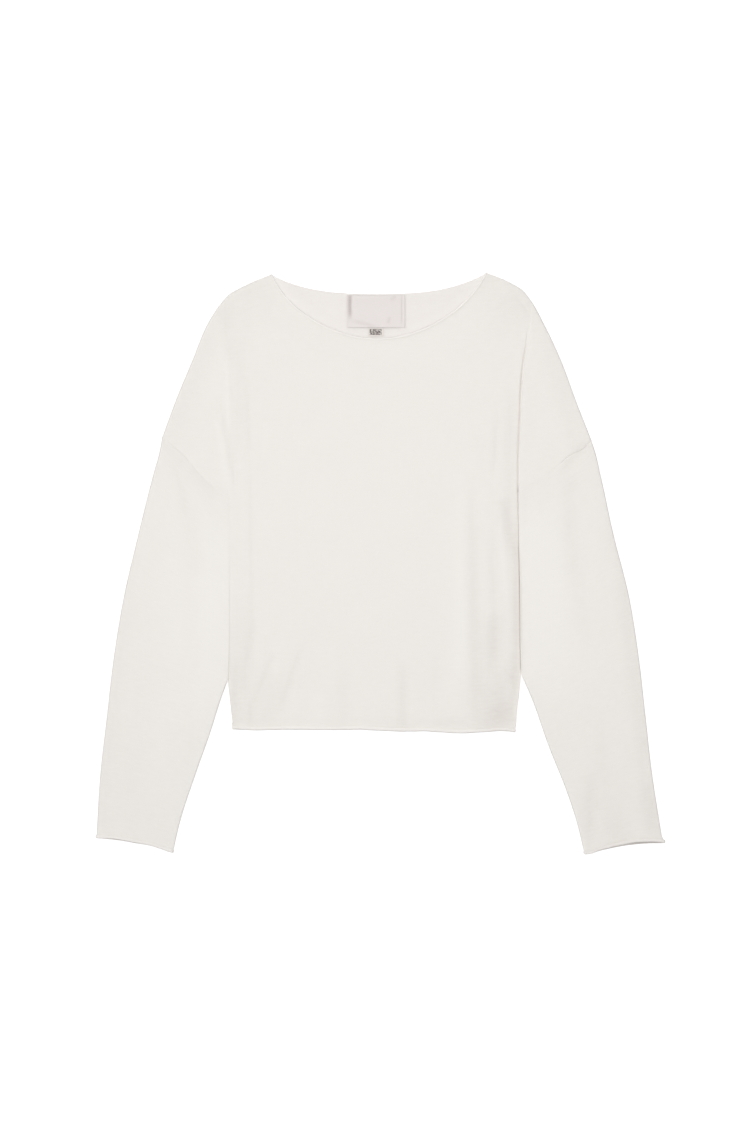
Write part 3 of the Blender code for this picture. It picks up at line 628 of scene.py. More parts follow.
def halfPanel(panel, half):
    sign, radius, upward = half["sign"], half["sideRadius"], panel["up"]
    neckColumns, flatColumns = panel["neckColumns"], panel["neckColumns"] + panel["yokeColumns"]
    foldColumn = flatColumns + edgeSteps
    turn = np.linspace(0, math.pi / 2, edgeSteps + 1)[1:]
    sideTurn = np.append(np.linspace(0, math.pi / 2, edgeSteps)[1:], math.pi / 2)
    last = (np.arange(edgeSteps) == edgeSteps - 1) * 1.0
    inset, outline, way, into = panelEnds(panel, half)

    # hem to underarm
    up = np.linspace(0, 1, panel["bodyRows"] + 1)[:, None]
    hemShift = lay["rollReach"] + upward * lay["hemPeep"] / 2
    low, high = readTable(hemLine, half["side"][0][1]) + hemShift, half["underarm"][1]
    level = low + (high - low) * up
    edge = readTable(half["side"], level) - sign * readTable(half["sideGap"], level) / 2
    start = edge - sign * radius
    spans = (start - lay["neckCentre"]) * np.linspace(0, 1, flatColumns + 1)
    x = np.concatenate([lay["neckCentre"] + spans, start + sign * radius * np.sin(sideTurn)], 1)
    y = (readTable(hemLine, x) + hemShift) * (1 - up) + high * up
    drop = np.zeros(x.shape)
    fade = 1 - (1 - half["foldDepth"][0][1]) * ease(1 - (high - level) / lay["sideFade"])
    straight = straightShare(half["bodyStraight"], level)
    down = (1 - np.cos(sideTurn)) * (1 - straight)
    drop[:, flatColumns + 1:] = fade * (down * (1 - last) + last)
    body = addZ(np.stack([x, y], -1), panelHeight(panel, x, y, drop))
    opening = half["side"][2][0]  # below it body and sleeve part
    shut = ease((level - opening) / lay["openingFade"])
    # painted shade on the body's edge beside the sleeve
    closed = readTable(half["closing"], level) * drop**0.7 * shut

    # underarm to neck and shoulder
    up = ease(np.linspace(0, 1, panel["yokeRows"] + 1)[1:])
    if upward > 0:
        depth = np.maximum(readTable(half["foldDepth"], up), 0)
    else:
        deep, soon = lay["backDent"]
        depth = deep * ease(1 - up * soon)
    bow = readTable(half["fold"], up) - (half["fold"][0][1] * (1 - up) + half["fold"][-1][1] * up)
    weight = np.minimum(np.arange(foldColumn + 1) / flatColumns, 1) ** 2
    rows = up[:, None, None]
    yoke = body[-1, :, :2] * (1 - rows) + inset[:foldColumn + 1] * rows
    yoke[..., 0] += bow[:, None] * weight
    foldLine = yoke[:, -1:]
    away = apart(yoke, foldLine) / half["foldWidth"][0]
    drop = depth[:, None] * ease(1 - away)
    # painted shade along the long fold too
    closed = np.concatenate([closed, drop])
    yoke = addZ(yoke, panelHeight(panel, *xy(yoke), drop))

    # the cap between the long fold and the armhole
    share = capShares(panel)[:, None]
    seamEnds = np.array([half["shoulder"][-1], half["underarm"]])
    start = lay["edgeRadius"] / apart(*seamEnds)
    along = (start * up + 1 - up)[:, None]
    seam, toSleeve = armholeSeam(half, along[:, 0])
    straight = seamEnds[0] * (1 - along) + seamEnds[1] * along
    cap = body[-1, -1, :2] * (1 - rows) + inset[foldColumn + 1:] * rows
    cap[..., 0] += bow[:, None] * (1 - share[:, 0])
    cap += (seam - straight - toSleeve * lay["seamGap"] / 2)[:, None] * share
    away = apart(cap, foldLine) / half["foldWidth"][1]
    toSeam = apart(cap, cap[:, -1:]) / half["seamWidth"]
    drop = depth[:, None] * ease(1 - away)
    z = panelHeight(panel, *xy(cap), drop)
    z -= upward * readTable(half["seamDip"], along) * roundOver(1 - toSeam)
    cap = np.concatenate([yoke[:, -1:], addZ(cap, z)], 1)
    corner = np.repeat(body[-1:, -1:], cap.shape[1], 1)
    # painted shade in the cap beside the long fold
    capClosed = np.concatenate([closed[-len(up):, -1:], drop], 1)
    capClosed = np.concatenate([np.full((1, cap.shape[1]), half["foldDepth"][0][1]), capClosed])

    # the shoulder's way down to its seam
    columns = slice(neckColumns, None)
    top = np.concatenate([yoke[-1], cap[-1, 1:]])[columns]
    turns = np.concatenate([[0], turn])[:, None]
    places = top[:, :2] + (outline - inset)[columns] * np.sin(turns)[..., None]
    rim = rimHeight(panel, panelUnder(*xy(top)))
    shoulder = addZ(places, top[:, 2] * np.cos(turns) + rim * (1 - np.cos(turns)))

    neckLine = np.concatenate([yoke[-1, :neckColumns + 1], shoulder[1:, 0]])
    edges = [
        hemRoll(panel, half, body[0], sideTurn),
        neckRoll(panel, half, neckLine, into, way[neckColumns], turn),
    ]
    main = np.concatenate([body, yoke])
    capGrid = np.concatenate([corner, cap])
    if upward < 0:  # only the front gets painted shade where it closes
        closed = capClosed = 0
    grids = ((main, closed), (capGrid, capClosed), (shoulder, 0))
    return [(grid, knitPlaces(panel, grid, shut)) for grid, shut in grids] + edges


# sleeves
sleeveCreases = (
    (-235.6, 139.3, -220.3, 54.1, 5.6, -0.81),  # left fold below the armhole
    (-218.6, 75.1, -210.0, -18.7, 14.2, -0.53),
    (-216.8, 9.6, -215.3, -150.8, 11.9, -0.32),  # its end
    (-198.5, 136.2, -204.7, -196.0, 44.1, 0.61),  # left crest beside the body
    (-277.6, 126.6, -325.8, -351.8, 10.1, -0.32),  # left outer side
    (-278.8, -184.7, -286.6, -310.1, 34.4, -0.16),  # toward the left cuff
    (-246.9, -140.4, -261.6, -289.7, 21.7, 0.20),
    (211.6, 129.5, 222.4, -16.5, 9.6, -0.64),  # right fold below the armhole
    (222.4, 16.2, 232.2, -97.0, 11.6, -0.36),  # its end
    (168.4, 153.6, 192.3, -174.8, 45.0, 0.66),  # right crest beside the body
    (261.2, 132.9, 318.0, -340.6, 10.6, -0.68),  # right outer side
    (262.1, -196.2, 272.8, -353.1, 18.0, -0.58),  # toward the right cuff
    (243.2, -137.8, 266.8, -313.7, 8.2, -0.19),
    (241.8, -230.1, 237.7, -327.9, 8.1, -0.77),  # inner side at the right cuff
    (304.7, -245.5, 312.5, -312.5, 9.9, -0.73),  # outer side at the right cuff
    (217.6, 134.1, 219.1, 78.7, 8.3, -1.03),  # below the right armhole
    (-234.3, 136.2, -230.2, 92.4, 8.4, -0.61),  # below the left armhole
    (265.8, -200.3, 267.8, -298.7, 12.1, 0.44),  # ridge at the right cuff
    (161.5, 20.0, 164.0, -140.0, 2.8, -0.60),  # beside the right fold
)

# capFade: share of the length in which the seam's bow and the front's creases run out. innerRound:
# the share where the inner edge starts to round like the outer one, and how fast. The lengths are
# how far up from the cuff its flare, its bow and what shows below it reach.
sleeve = {
    "rings": 150, "topSteps": 40, "underSteps": 28, "edgeSteps": 9, "capFade": 0.16,
    "innerRound": (0.45, 5), "flareLength": 0.009, "bowLength": 0.10, "peepLength": 0.03,
}


def sleeveInnerX(half, y):
    beside = readTable(half["side"], np.maximum(y, half["side"][0][0]))
    middle = np.where(y > half["inner"][0][0], beside, readTable(half["inner"], y))
    return middle + half["sign"] * readTable(half["sideGap"], y) / 2


def ringForm():
    # From the outer edge over the top and back underneath: way sideways and up, share of the way
    # across, if it is above, and if it is on the inner edge.
    steps = sleeve["edgeSteps"]
    over = np.linspace(0, 1, sleeve["topSteps"] + 1)[1:-1]
    below = np.linspace(1, 0, sleeve["underSteps"] + 1)[1:-1]
    quarter = np.linspace(0, math.pi / 2, steps + 1)
    turns = [math.pi - quarter, np.full(len(over), math.pi / 2), math.pi / 2 - quarter, -quarter,
             np.full(len(below), -math.pi / 2), -math.pi / 2 - quarter[:-1]]
    sideways = np.concatenate([np.cos(t) for t in turns])
    upward = np.concatenate([np.sin(t) for t in turns])
    ends = [np.zeros(steps + 1), np.ones(2 * steps + 2), np.zeros(steps)]
    flatShare = np.concatenate([ends[0], over, ends[1], below, ends[2]])
    place = np.arange(len(upward))
    topEnd = steps + 1 + len(over)
    belowStart = topEnd + 2 * (steps + 1)
    sideways[steps + 1:topEnd] = 0
    sideways[belowStart:belowStart + len(below)] = 0
    inside = (place >= topEnd) & (place < belowStart)
    return sideways, upward, flatShare, place < topEnd + steps + 1, inside


def sleeveRings(half, shares):  # points by ring and by place round it
    sign, gap = half["sign"], lay["seamGap"] / 2
    outerY = half["shoulder"][-1][1] * (1 - shares) + half["cuff"][0] * shares
    innerY = half["underarm"][1] * (1 - shares) + half["cuff"][1] * shares
    start = np.stack([readTable(half["outer"], outerY), outerY], -1)
    end = np.stack([sleeveInnerX(half, innerY), innerY], -1)
    across = unit(end - start)
    toHand = np.stack([-sign * across[:, 1], sign * across[:, 0]], -1)
    fromCuff = (1 - shares) * (half["shoulder"][-1][1] - half["cuff"][0])
    flare = fading(fromCuff, sleeve["flareLength"])[:, None]
    start = start - across * half["cuffFlare"][0] * flare
    end = end + across * half["cuffFlare"][1] * flare
    width = apart(end, start)[:, None]

    outerR, innerR = lay["edgeRadius"], half["sideRadius"]
    begins, fast = sleeve["innerRound"]
    innerR = (innerR + (outerR - innerR) * ease((shares - begins) * fast))[:, None]
    sideways, upward, flatShare, above, inside = ringForm()
    reach = np.where(flatShare > 0.5, innerR, outerR)
    distance = outerR + (width - outerR - innerR) * flatShare + reach * sideways

    bow = np.maximum(1 - shares / sleeve["capFade"], 0)[:, None] ** 2
    _, toSleeve = armholeSeam(half, 0.0)
    share = distance / width
    places = start[:, None] + across[:, None] * distance[..., None]
    places = places + toSleeve * (readTable(half["seamSag"], share) * bow)[..., None]
    places = places + toSleeve * gap * (shares == 0)[:, None, None]
    peep = readTable(half["cuffPeep"], share)
    drawn = readTable(half["cuffBow"], share) * fading(fromCuff, sleeve["bowLength"])[:, None]
    drawn += peep * (above - 0.5) * fading(fromCuff, sleeve["peepLength"])[:, None]
    places = places - toHand[:, None] * drawn[..., None]

    under = liftOver(fromCuff)[:, None]
    toSeam = fromCuff[0] - fromCuff
    dip = roundOver(1 - toSeam / half["seamWidth"])[:, None] * readTable(half["seamDip"], share)
    own = ease(shares / sleeve["capFade"])[:, None]
    x, y = xy(places)
    swell = (1 - own) * creaseHeight(x, y, frontCreases)
    swell += own * creaseHeight(x, y, sleeveCreases)
    # painted shade in troughs and painted highlight on ridges, on the upper layer
    tint = ((1 - own) * paintedLight(x, y, frontCreases) + own * paintedLight(x, y, sleeveCreases)) * above
    # painted shade on the lower layer where it shows below the upper one at the cuff
    full, strip = shading["peep"]
    shown = peep / full * fading(fromCuff, strip)[:, None]
    tint -= shading["shut"] * shown * ~above
    # painted highlight on the strip above the cuff
    tint += half["cuffLight"][1] * fading(fromCuff, shading["cuffBand"])[:, None] * above
    top = topHeight(x, y, under, swell) - dip
    # hollows underneath lift off the floor and get painted shade
    lifted = creaseHeight(x, y, backCreases) * ~above
    tint -= lifted / shading["height"]
    middle = lay["seamHeight"] + under / 2
    straight = inside * straightShare(half["sleeveStraight"], innerY)[:, None]
    upShare = np.where(above, np.maximum(upward, 0) * (1 - straight) + straight, 0)
    downShare = np.where(above, 0, np.maximum(-upward, 0))
    z = middle + upShare * (top - middle) - downShare * (middle - under - dip - lifted)
    # painted shade on the inner edge beside the body, and painted highlight on it below the underarm
    shade = readTable(half["sideShade"], innerY)
    beside = np.where(innerY > half["inner"][0][0], shade, -half["innerLight"])
    tint -= beside[:, None] * inside * above * sideways
    normals = addZ(across[:, None] * sideways[:, None], np.broadcast_to(upward, share.shape))
    points = addZ(places, z)
    steps = np.diff(points, axis=1, prepend=points[:, :1])
    around = np.cumsum(np.linalg.norm(steps, axis=-1), axis=1)
    knit = np.stack([around, np.broadcast_to(-toSeam[:, None], around.shape), tint], -1)
    return points, normals, toHand, knit


def wholeSleeve(half):
    length = half["shoulder"][-1][1] - half["cuff"][0]
    last = 1 - lay["rollReach"] / length
    near = half["seamWidth"] / length
    shares = np.concatenate([np.linspace(0, near, 5), np.linspace(near, last, sleeve["rings"])[1:]])
    points, normals, toHand, knit = sleeveRings(half, shares)
    closed = [np.concatenate([each, each[:, :1]], 1) for each in (points, normals)]
    gap = apart(points[:, :1], points[:, -1:])[..., None]
    knit = np.concatenate([knit, knit[:, -1:] + gap * (1, 0, 0)], 1)
    out = np.broadcast_to((*toHand[-1], 0.0), closed[0][-1].shape)
    # cuffLight's first value: painted highlight on the cuff's roll
    seed, light = 20 + half["sign"], half["cuffLight"][0]
    cuff = rollPatch(closed[0][-1], out, closed[1][-1], knit[-1], seed, light)
    cuff[0][:, -1] = cuff[0][:, 0]
    return [(closed[0], knit), cuff]


# labels inside the back neck
def labelPlace(look, across, up):  # places from its lower left corner, and just clear of the back
    x = look["centre"][0] - look["size"][0] / 2 + across
    y = look["centre"][1] - look["size"][1] / 2 + up
    return x, y, panelUnder(x, y) + lay["wall"] + lay["labelAir"]


# wrinkles: (across, up, turn in degrees, width, length, height), from the lower left corner. The
# first two are the valleys in which the ends are sewn down. flap: how far in the cloth folded under
# at either end reaches. loft and puff: height of the face at its ends, and what its middle adds.
# fullShade: depth of a wrinkle at which its painted shade is full.
neckLabel = {
    "size": (0.0655, 0.0365), "centre": (-0.0050, 0.2888), "wall": 0.00025, "flap": (0.006, 0.0006),
    "foldRadius": 0.0002, "loft": 0.00050, "puff": 0.0004, "columns": 80, "rows": 26,
    "stitch": {"ends": (0.0014, 0.001), "pitch": 0.0026, "length": 0.0019, "radius": 0.00014},
    "fullShade": 0.0011,
    "wrinkles": (
        (0.0030, 0.026, 90, 0.0022, 0.014, -0.00075), (0.0620, 0.020, 90, 0.0005, 0.017, -0.0005),
        (0.0095, 0.030, 62, 0.0030, 0.010, 0.0002), (0.0520, 0.0335, 20, 0.0024, 0.004, -0.00018),
        (0.0475, 0.0080, 75, 0.0020, 0.004, -0.00018), (0.0300, 0.034, 5, 0.0030, 0.020, 0.0002),
        (0.0200, 0.004, 165, 0.0022, 0.014, -0.00016),
    ),
}


def labelPatches(look):
    width, tall = look["size"]
    radius = look["foldRadius"]
    arc = np.linspace(0, math.pi, 7)[1:-1]
    flap = np.linspace(*look["flap"], 7)
    top = np.linspace(0, width, look["columns"] + 1)
    bulge = radius * np.sin(arc)
    across = np.concatenate([flap, -bulge, top, width + bulge, width - flap[::-1]])
    climb, fall = (1 - np.cos(arc)) / 2, (1 + np.cos(arc)) / 2
    layer = np.concatenate([0 * flap, climb, np.ones(len(top)), fall, 0 * flap])
    across, up = np.meshgrid(across, np.linspace(0, tall, look["rows"] + 1))
    x, y, z = labelPlace(look, across, up)
    share = np.clip(across / width, 0, 1)
    face = look["loft"] + look["puff"] * np.sqrt(np.clip(4 * share * (1 - share), 0, 1))
    tint = 0 * across
    for atX, atY, turn, wide, long, height in look["wrinkles"]:
        turn = math.radians(turn)
        a, b = across - atX, up - atY
        onward = a * math.cos(turn) + b * math.sin(turn)
        aside = b * math.cos(turn) - a * math.sin(turn)
        tint += height * np.exp(-(onward / long) ** 4 - (aside / wide) ** 2)
    z = z + look["wall"] + np.maximum(face + tint, 2 * radius + look["wall"]) * layer
    steps = [np.diff(each, axis=1, prepend=each[:, :1]) for each in (across, z)]
    run = np.cumsum(np.hypot(*steps), axis=1)
    # the wrinkles' dips also give the satin its painted shade
    return [(np.stack([x, y, z], -1), np.stack([run, up, tint / look["fullShade"]], -1))]


sizeTab = {"size": (0.0184, 0.0090), "centre": (-0.0050, 0.2653), "wall": 0.0002,
           "foldRadius": 0.00015, "puff": 0.0002, "columns": 16, "rows": 8}


def tabPatches(look):  # tape folded double, with the fold below
    width, tall = look["size"]
    radius = look["foldRadius"]
    arc = np.linspace(0, math.pi, 7)[1:-1]
    layer = np.linspace(0, tall, look["rows"] + 1)
    up = np.concatenate([layer[::-1], -radius * np.sin(arc), layer])
    height = np.concatenate([np.ones(len(layer)), (1 + np.cos(arc)) / 2, 0 * layer])
    across, up = np.meshgrid(np.linspace(0, width, look["columns"] + 1), up)
    height = height[:, None] * (2 * radius + look["puff"] * np.sin(across / width * math.pi))
    x, y, z = labelPlace(look, across, up)
    return [(np.stack([x, y, z + look["wall"] + height], -1), np.stack([across, up, 0 * up], -1))]


# stitches, as short thick threads
threadShape = ((-0.5, 0.25), (-0.36, 0.85), (0.0, 1.0), (0.36, 0.85), (0.5, 0.25))  # place, thickness


def stitchMesh(name, spots, ways, look, material):
    length, radius = look["length"], look["radius"]
    spots = spots - (*lay["origin"], 0)
    ring = np.linspace(0, 2 * math.pi, 7)[:-1]
    bm = bmesh.new()
    for spot, way in zip(spots, ways):
        side = unit(np.cross(way, (0, 0, 1)))
        up = np.cross(side, way)
        rings = []
        for at, thick in threadShape:
            centre = spot + way * length * at - up * radius * (2 * at) ** 2 * 1.2  # ends go in
            spokes = [side * math.cos(t) + up * math.sin(t) for t in ring]
            rings.append([bm.verts.new(centre + radius * thick * spoke) for spoke in spokes])
        for near, far in zip(rings, rings[1:]):
            for k in range(6):
                bm.faces.new([near[k - 1], near[k], far[k], far[k - 1]])
        bm.faces.new(rings[0][::-1])
        bm.faces.new(rings[-1])
    bmesh.ops.recalc_face_normals(bm, faces=bm.faces)
    return makePiece(bm, name, (material,))


linking = {"pitch": 0.0021, "length": 0.0024, "radius": 0.00022, "slant": 0.35, "margin": 0.004,
           "ahead": 0.005, "sunk": 0.00005}


def armholeStitches(half, name, material):
    run = apart(np.array(half["shoulder"][-1]), half["underarm"])
    share = np.arange(linking["margin"], run - linking["margin"], linking["pitch"]) / run
    places, toSleeve = armholeSeam(half, share)
    ahead, _ = armholeSeam(half, share + linking["ahead"])
    tilt = np.where(np.arange(len(share)) % 2, 1, -1)[:, None] * linking["slant"]
    ways = unit(addZ(unit(ahead - places) + toSleeve * tilt, 0 * share))
    x, y = xy(places)
    top = topHeight(x, y, 0 * x, creaseHeight(x, y, frontCreases))
    dip = readTable(half["seamDip"], share) + linking["sunk"]
    spots = [np.stack([x, y, z], -1) for z in (top - dip, dip)]
    return stitchMesh(name, np.concatenate(spots), np.concatenate([ways, ways]), linking, material)


def labelStitches(look, name, material):
    first, margin = look["stitch"]["ends"]
    rows = np.arange(first, look["size"][1] - margin, look["stitch"]["pitch"])
    spots = []
    for across in (look["wrinkles"][0][0], look["wrinkles"][1][0]):
        x, y, z = labelPlace(look, np.full(len(rows), across), rows)
        spots.append(np.stack([x, y, z + 3.2 * look["wall"] + 2 * look["foldRadius"]], -1))
    ways = np.broadcast_to((0.0, 1.0, 0.0), (2 * len(rows), 3))
    return stitchMesh(name, np.concatenate(spots), ways, look["stitch"], material)


# parts of materials
def setInputs(node, values):
    for label, value in values.items():
        node.inputs[label].default_value = value


def calc(tree, operation, *values):  # a Math node; values are numbers, sockets or other operations
    node = tree.nodes.new("ShaderNodeMath")
    node.operation = operation
    for socket, value in zip(node.inputs, values):
        if isinstance(value, tuple):
            value = calc(tree, *value)
        if isinstance(value, (int, float)):
            socket.default_value = value
        else:
            tree.links.new(value, socket)
    return node.outputs[0]


def cycle(value):  # between 0 and 1, once for each 1 of the value
    return "MULTIPLY_ADD", ("COSINE", ("MULTIPLY", value, 2 * math.pi)), 0.5, 0.5


def stretched(tree, vector, scale, offset=(0.0, 0.0, 0.0)):
    node = tree.nodes.new("ShaderNodeVectorMath")
    node.operation = "MULTIPLY_ADD"
    setInputs(node, {1: scale, 2: offset})
    tree.links.new(vector, node.inputs[0])
    return node.outputs[0]


def noiseAt(tree, vector, scale, detail=2.0):
    node = tree.nodes.new("ShaderNodeTexNoise")
    setInputs(node, {"Scale": scale, "Detail": detail})
    tree.links.new(vector, node.inputs["Vector"])
    return node.outputs["Fac"]


def mixColour(tree, first, second, share):  # each a colour or a socket, and the second one's share
    node = tree.nodes.new("ShaderNodeMix")
    node.data_type = "RGBA"
    for label, value in (("A", first), ("B", second)):
        if isinstance(value, tuple):
            node.inputs[label].default_value = value
        else:
            tree.links.new(value, node.inputs[label])
    tree.links.new(share, node.inputs["Factor"])
    return node.outputs["Result"]


def addBump(tree, shader, height, distance):
    node = tree.nodes.new("ShaderNodeBump")
    node.inputs["Distance"].default_value = distance
    tree.links.new(height, node.inputs["Height"])
    tree.links.new(node.outputs["Normal"], shader.inputs["Normal"])


def startMaterial(name, surface):
    material = bpy.data.materials.new(name)
    material.use_nodes = True
    shader = material.node_tree.nodes["Principled BSDF"]
    setInputs(shader, surface)
    return material, material.node_tree, shader


def clothPlace(tree):  # in metres, across and up the cloth
    node = tree.nodes.new("ShaderNodeUVMap")
    node.uv_map = "knit"
    return node.outputs[0]


# painted light and shade kept on the mesh
def readPaintedLight(tree):
    node = tree.nodes.new("ShaderNodeAttribute")
    node.attribute_name = "paintedLight"
    return node.outputs["Fac"]


# Size of a stitch, its form, and what makes it uneven: wander (scale and how much), streaks and fuzz.
stitch = {"wale": 0.0017, "course": 0.00125, "legRise": 0.75, "legRound": 0.6, "strand": 0.55,
          "sway": 0.22, "wander": (160.0, 0.35), "streaks": (95.0, 330.0, 1.0), "fuzz": 2600.0}


def knitGroup():  # stocking stitch: V legs on its face, bumps on its reverse
    group = bpy.data.node_groups.new("knitStitches", "ShaderNodeTree")
    for label, kind in (("Place", "Vector"), ("Wale", "Float"), ("Course", "Float")):
        group.interface.new_socket(label, in_out="INPUT", socket_type="NodeSocket" + kind)
    for label in ("Face", "Reverse", "Streak", "Fuzz"):
        group.interface.new_socket(label, in_out="OUTPUT", socket_type="NodeSocketFloat")
    given = group.nodes.new("NodeGroupInput").outputs
    made = group.nodes.new("NodeGroupOutput").inputs
    split = group.nodes.new("ShaderNodeSeparateXYZ")
    group.links.new(given["Place"], split.inputs[0])
    scale, amount = stitch["wander"]
    wander = noiseAt(group, given["Place"], scale)
    shake = calc(group, "MULTIPLY", ("SUBTRACT", wander, 0.5), amount)
    u = calc(group, "ADD", ("DIVIDE", split.outputs["X"], given["Wale"]), shake)
    v = calc(group, "ADD", ("DIVIDE", split.outputs["Y"], given["Course"]), shake)
    leg = calc(group, "MULTIPLY", ("ABSOLUTE", ("SUBTRACT", ("FRACT", u), 0.5)), 2.0)
    legShape = "POWER", ("SINE", ("MULTIPLY", leg, math.pi)), stitch["legRound"]
    slant = cycle(("SUBTRACT", v, ("MULTIPLY", leg, stitch["legRise"])))
    strand = "MULTIPLY_ADD", slant, stitch["strand"], 1 - stitch["strand"]
    sway = "MULTIPLY", ("COSINE", ("MULTIPLY", u, 2 * math.pi)), stitch["sway"]
    streak = noiseAt(group, stretched(group, given["Place"], stitch["streaks"]), 1.0, 3.0)
    group.links.new(calc(group, "MULTIPLY", legShape, strand), made["Face"])
    group.links.new(calc(group, *cycle(("ADD", v, sway))), made["Reverse"])
    group.links.new(streak, made["Streak"])
    group.links.new(noiseAt(group, given["Place"], stitch["fuzz"]), made["Fuzz"])
    return group


knitStitches = knitGroup()

# Face and Reverse: each side's colour on its ridges and in its troughs, the trough colour being a
# painted-shade copy of the ridge colour, between stitches and in creases. Closed and Lit: painted
# shade where a fold closes on itself, and painted highlight where a roll catches the light. level,
# perRelief
# and perStitch: share of the ridges' colour on flat knit, what a painted light of 1 adds, and what a
# stitch's top adds. closing and lighting: what a painted light of 1 adds to the share of Closed or
# Lit,
# and that share on flat knit. streaks: how strong on the chest, toward the edges and, on top of that,
# in the painted shade of troughs. chest: what places are multiplied by and moved by there, so that
# its rim is 1 from the middle.
yarn = {
    "Face": ((0.860, 0.836, 0.797, 1.0), (0.727, 0.686, 0.646, 1.0)),
    "Reverse": ((0.860, 0.826, 0.794, 1.0), (0.765, 0.720, 0.683, 1.0)),
    "Closed": (0.400, 0.360, 0.330, 1.0),
    "Lit": (0.960, 0.940, 0.920, 1.0),
    "level": 0.72, "perRelief": 0.32, "perStitch": 0.15,
    "closing": (-0.45, -0.80), "lighting": (0.5, -0.45),
    "streaks": (0.11, 0.28, 0.20), "chest": ((3.4, 2.6, 0.0), (0.10, -0.22, 0.0)),
    "stitchDepth": 0.00016, "fuzzDepth": 0.25,
    "surface": {"Roughness": 0.92, "Specular IOR Level": 0.25, "Sheen Weight": 0.12},
    "inside": {"Subsurface Weight": 0.12, "Subsurface Radius": (1, 1, 1), "Subsurface Scale": 0.0015},
}


def streakSpread(tree, lightAndShade):  # the courses show least on the chest, washed out by the brightest light there, and more in painted-shade troughs
    where = tree.nodes.new("ShaderNodeTexCoord")
    length = tree.nodes.new("ShaderNodeVectorMath")
    length.operation = "LENGTH"
    tree.links.new(stretched(tree, where.outputs["Object"], *yarn["chest"]), length.inputs[0])
    low, high, trough = yarn["streaks"]
    outward = "MULTIPLY_ADD", ("MINIMUM", length.outputs["Value"], 1.0), high - low, low
    return calc(tree, "MULTIPLY_ADD", ("MINIMUM", lightAndShade, 0.0), -trough, outward)


def knitMaterial(name, side):
    material, tree, shader = startMaterial(name, yarn["surface"])
    setInputs(shader, yarn["inside"])
    stitches = tree.nodes.new("ShaderNodeGroup")
    stitches.node_tree = knitStitches
    tree.links.new(clothPlace(tree), stitches.inputs["Place"])
    setInputs(stitches, {"Wale": stitch["wale"], "Course": stitch["course"]})
    lightAndShade = readPaintedLight(tree)
    top, fuzz = stitches.outputs[side], stitches.outputs["Fuzz"]
    streaks = "SUBTRACT", stitches.outputs["Streak"], 0.5
    share = "MULTIPLY_ADD", streaks, streakSpread(tree, lightAndShade), yarn["level"]
    share = "MULTIPLY_ADD", lightAndShade, yarn["perRelief"], share
    share = calc(tree, "MULTIPLY_ADD", top, yarn["perStitch"], share)
    ridge, trough = yarn[side]
    # toward the painted-shade trough colour between stitches and in creases
    colour = mixColour(tree, trough, ridge, share)
    # then painted shade where a fold closes, and painted highlight on rolls
    for other, shift in (("Closed", "closing"), ("Lit", "lighting")):
        share = calc(tree, "MULTIPLY_ADD", lightAndShade, *yarn[shift])
        colour = mixColour(tree, colour, yarn[other], share)
    tree.links.new(colour, shader.inputs["Base Color"])
    height = calc(tree, "MULTIPLY_ADD", fuzz, yarn["fuzzDepth"], top)
    addBump(tree, shader, height, yarn["stitchDepth"])
    return material


def wovenRibs(tree, shader, look):  # fine ribs across the ribbon
    place = clothPlace(tree)
    split = tree.nodes.new("ShaderNodeSeparateXYZ")
    tree.links.new(place, split.inputs[0])
    turned = "MULTIPLY", split.outputs["Y"], 2 * math.pi / look["threadPitch"]
    addBump(tree, shader, calc(tree, "SINE", turned), look["threadDepth"])
    return place, split.outputs


# hollow: painted shade in the label's wrinkles and in the valleys where its ends are sewn
satin = {
    "colour": (0.767, 0.718, 0.700, 1.0), "hollow": (0.380, 0.320, 0.300, 1.0),
    "threadPitch": 0.00028, "threadDepth": 0.00002,
    "surface": {"Roughness": 0.42, "Specular IOR Level": 0.35},
}


def satinMaterial():
    material, tree, shader = startMaterial("labelSatin", satin["surface"])
    # painted shade where the wrinkles dip
    hollow = calc(tree, "MULTIPLY", readPaintedLight(tree), -1.0)
    colour = mixColour(tree, satin["colour"], satin["hollow"], hollow)
    tree.links.new(colour, shader.inputs["Base Color"])
    wovenRibs(tree, shader, satin)
    return material


# block: middle and reach of the printed block, as shares of the tab. grain: scale of the weave that
# shows through it, that weave's contrast and level, and how dark the print is at most.
tape = {
    "colour": (0.80, 0.75, 0.71, 1.0), "print": (0.120, 0.095, 0.090, 1.0),
    "block": ((0.48, 0.52), (0.37, 0.38)), "grain": (520.0, 3.2, -0.90, 0.96),
    "threadPitch": 0.0004, "threadDepth": 0.00004,
    "surface": {"Roughness": 0.6, "Specular IOR Level": 0.3},
}


def tapeMaterial():
    material, tree, shader = startMaterial("tabTape", tape["surface"])
    place, along = wovenRibs(tree, shader, tape)
    scale, contrast, level, most = tape["grain"]
    share = "MINIMUM", ("MULTIPLY_ADD", noiseAt(tree, place, scale), contrast, level), most
    for axis, size, middle, reach in zip("XY", sizeTab["size"], *tape["block"]):
        away = "ABSOLUTE", ("SUBTRACT", along[axis], size * middle)
        share = "MULTIPLY", share, ("LESS_THAN", away, size * reach)
    colour = mixColour(tree, tape["colour"], tape["print"], calc(tree, *share))
    tree.links.new(colour, shader.inputs["Base Color"])
    return material


thread = {"twist": 900.0, "twistDepth": 0.00003}


def threadMaterial():
    material, tree, shader = startMaterial("sewingThread", yarn["surface"])
    setInputs(shader, {"Base Color": yarn["Face"][0]})
    twist = tree.nodes.new("ShaderNodeTexWave")
    setInputs(twist, {"Scale": thread["twist"]})
    where = tree.nodes.new("ShaderNodeTexCoord")
    tree.links.new(where.outputs["Object"], twist.inputs["Vector"])
    addBump(tree, shader, twist.outputs["Fac"], thread["twistDepth"])
    return material


